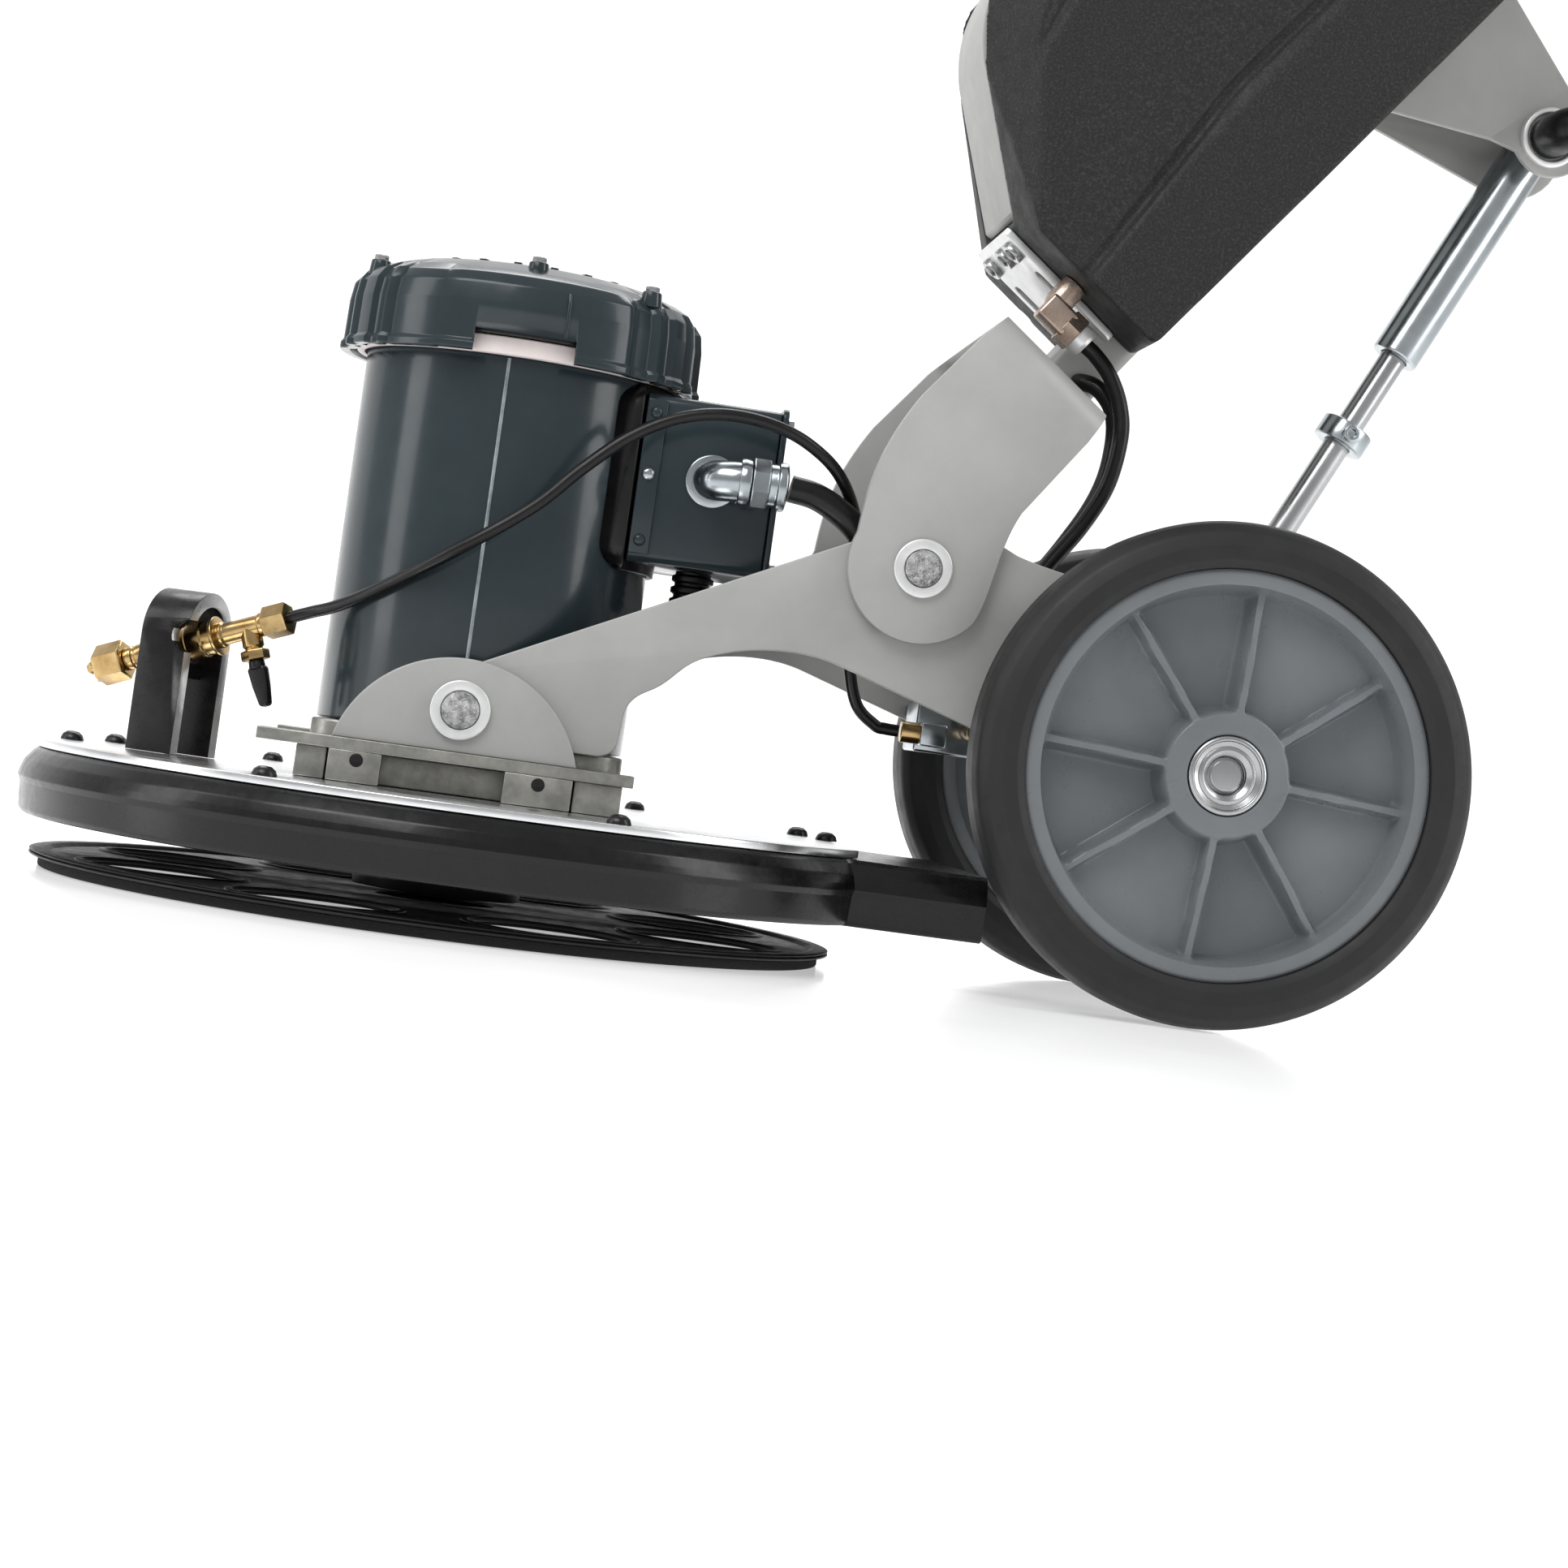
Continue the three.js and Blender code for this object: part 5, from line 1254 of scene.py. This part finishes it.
flexible("spray_line", "spray_hose", SPRAY_ROUTE, 3.2)
flexible("motor_lead_lower", "motor_cable_lower", LOWER_ROUTE, 7)
flexible("motor_lead_upper", "motor_cable_upper", UPPER_ROUTE, 4.6)
flexible("feed_line", "feed_hose", FEED_ROUTE, 4.2)

# ---------------------------------------------------------------- drive under the deck
ORBIT = Matrix.Translation((-0.0063, -0.003, 0))
WINDOW_RING = 148
turns = [RAD(45 * (k + 0.5)) for k in range(8)]
centres = [(WINDOW_RING * math.cos(a), WINDOW_RING * math.sin(a)) for a in turns]


def windows(r):
    return [arc(x, y, r, 0, 352, 44) for x, y in centres]


ring = plate("disc", arc(0, 0, 202, 0, 357.5, 143), 5.6, 7, "driver_black", ORBIT, edge=0.3, plane="XY",
             holes=[*windows(40), arc(0, 0, 32, 0, 350, 35)])
rim = lathe("rim", [(198, 5.3), (206.4, 5.3, 0.6), (208.7, 5.8, 0.4), (208.7, 6.7, 0.4), (206.8, 7.1, 0.2),
                    (206.8, 7.5, 0.2), (208.7, 7.8, 0.4), (208.7, 8.3, 0.4), (207, 8.8, 0.5),
                    (201, 8.8, 0.6), (198, 7)],
            "driver_black", ORBIT, 0.4, 240)
hub = lathe("hub", [(31.3, 11), (44, 11), (44, 31, 1), (31.3, 31)], "driver_black", ORBIT, 0.6, 64)
driver_parts = [ring, rim, hub]
for x, y in centres:
    at = ORBIT @ Matrix.Translation((x * MM, y * MM, 0))
    driver_parts.append(lathe("lip", [(40, 6.4), (44, 6.4), (43.6, 7.8, 0.5), (40.4, 7.8, 0.5)],
                              "driver_black", at, 0.5, 72))
whole("driver_disc", driver_parts, "orbital_pad", "pad_driver", slot="gloss_black")
gripper = [
    plate("g0", arc(0, 0, 198, 0, 357.5, 143), 3.8, 5, "fibre", ORBIT, edge=0.3, plane="XY",
          holes=windows(44)),
    lathe("g1", [(194, 0, 0.6), (203.6, 0, 0.8), (203.6, 5), (194, 5)], "fibre", ORBIT, 0.6, 180),
]
whole("gripper_disc", gripper, "orbital_pad", "pad_gripper", slot="fibre")

# ---------------------------------------------------------------- floor, backdrop and light
def stage():
    """One sheet: floor in front and under the machine, swept up behind it."""
    line = [(-3.2, 0), (1.6, 0)]
    line += [(1.6 + 1.4 * math.sin(RAD(a)), 1.4 - 1.4 * math.cos(RAD(a))) for a in range(4, 91, 4)]
    line += [(3.0, 4.2)]
    bm = bmesh.new()
    rows = [[bm.verts.new((x, y, z)) for y, z in line] for x in (-5, 5)]
    for k in range(len(line) - 1):
        bm.faces.new((rows[0][k], rows[1][k], rows[1][k + 1], rows[0][k + 1]))
    mesh = bpy.data.meshes.new("backdrop")
    bm.to_mesh(mesh)
    bm.free()
    mesh.shade_smooth()
    obj = bpy.data.objects.new("backdrop", mesh)
    obj.location.z = -0.0004
    bpy.context.scene.collection.objects.link(obj)
    n = Nodes("studio_floor")
    n.bsdf.inputs["Base Color"].default_value = (0.8, 0.8, 0.8, 1)
    n.bsdf.inputs["Emission Color"].default_value = (1, 1, 1, 1)
    n.bsdf.inputs["Emission Strength"].default_value = 0.42
    n.bsdf.inputs["Specular IOR Level"].default_value = 0.5
    n.link(n.span(n.noise(1.4, 4, 0.6), 0.1, 0.2), n.bsdf.inputs["Roughness"])
    n.bump((n.noise(3.0, 3, 0.5, (1, 3, 1)), 0.08, 0.004))
    mesh.materials.append(n.mat)


stage()


def softbox(name, place, target, width, height, power):
    data = bpy.data.lights.new(name, "AREA")
    data.shape = "RECTANGLE"
    data.size = width
    data.size_y = height
    data.energy = power
    obj = bpy.data.objects.new(name, data)
    obj.location = place
    obj.rotation_euler = (Vector(target) - Vector(place)).to_track_quat("-Z", "Y").to_euler()
    bpy.context.scene.collection.objects.link(obj)


world = bpy.data.worlds.new("studio")
world.use_nodes = True
world.node_tree.nodes["Background"].inputs["Color"].default_value = (1, 1, 1, 1)
world.node_tree.nodes["Background"].inputs["Strength"].default_value = 0.55
bpy.context.scene.world = world
softbox("key", (-0.9, -1.4, 1.9), (0.1, 0, 0.2), 1.6, 1.2, 34)
softbox("left_strip", (-1.6, -0.3, 0.7), (0, 0, 0.2), 0.5, 1.6, 8)
softbox("right_strip", (1.7, -0.7, 0.9), (0.2, 0, 0.2), 0.6, 1.6, 12)
softbox("back_light", (0.2, 1.2, 2.2), (0.1, 0, 0.1), 2.4, 1.0, 34)

# ---------------------------------------------------------------- finishes on the CAD nodes that stay in view
shown = {r["node"]: r["material_slot"] for r in frame["record"]["subparts"]}
for node, obj in frame["nodes"].items():
    obj.data.materials.clear()
    obj.data.materials.append(M["black_paint" if node == "deck_base" else shown[node]])
    smooth_mesh(obj.data, 30)
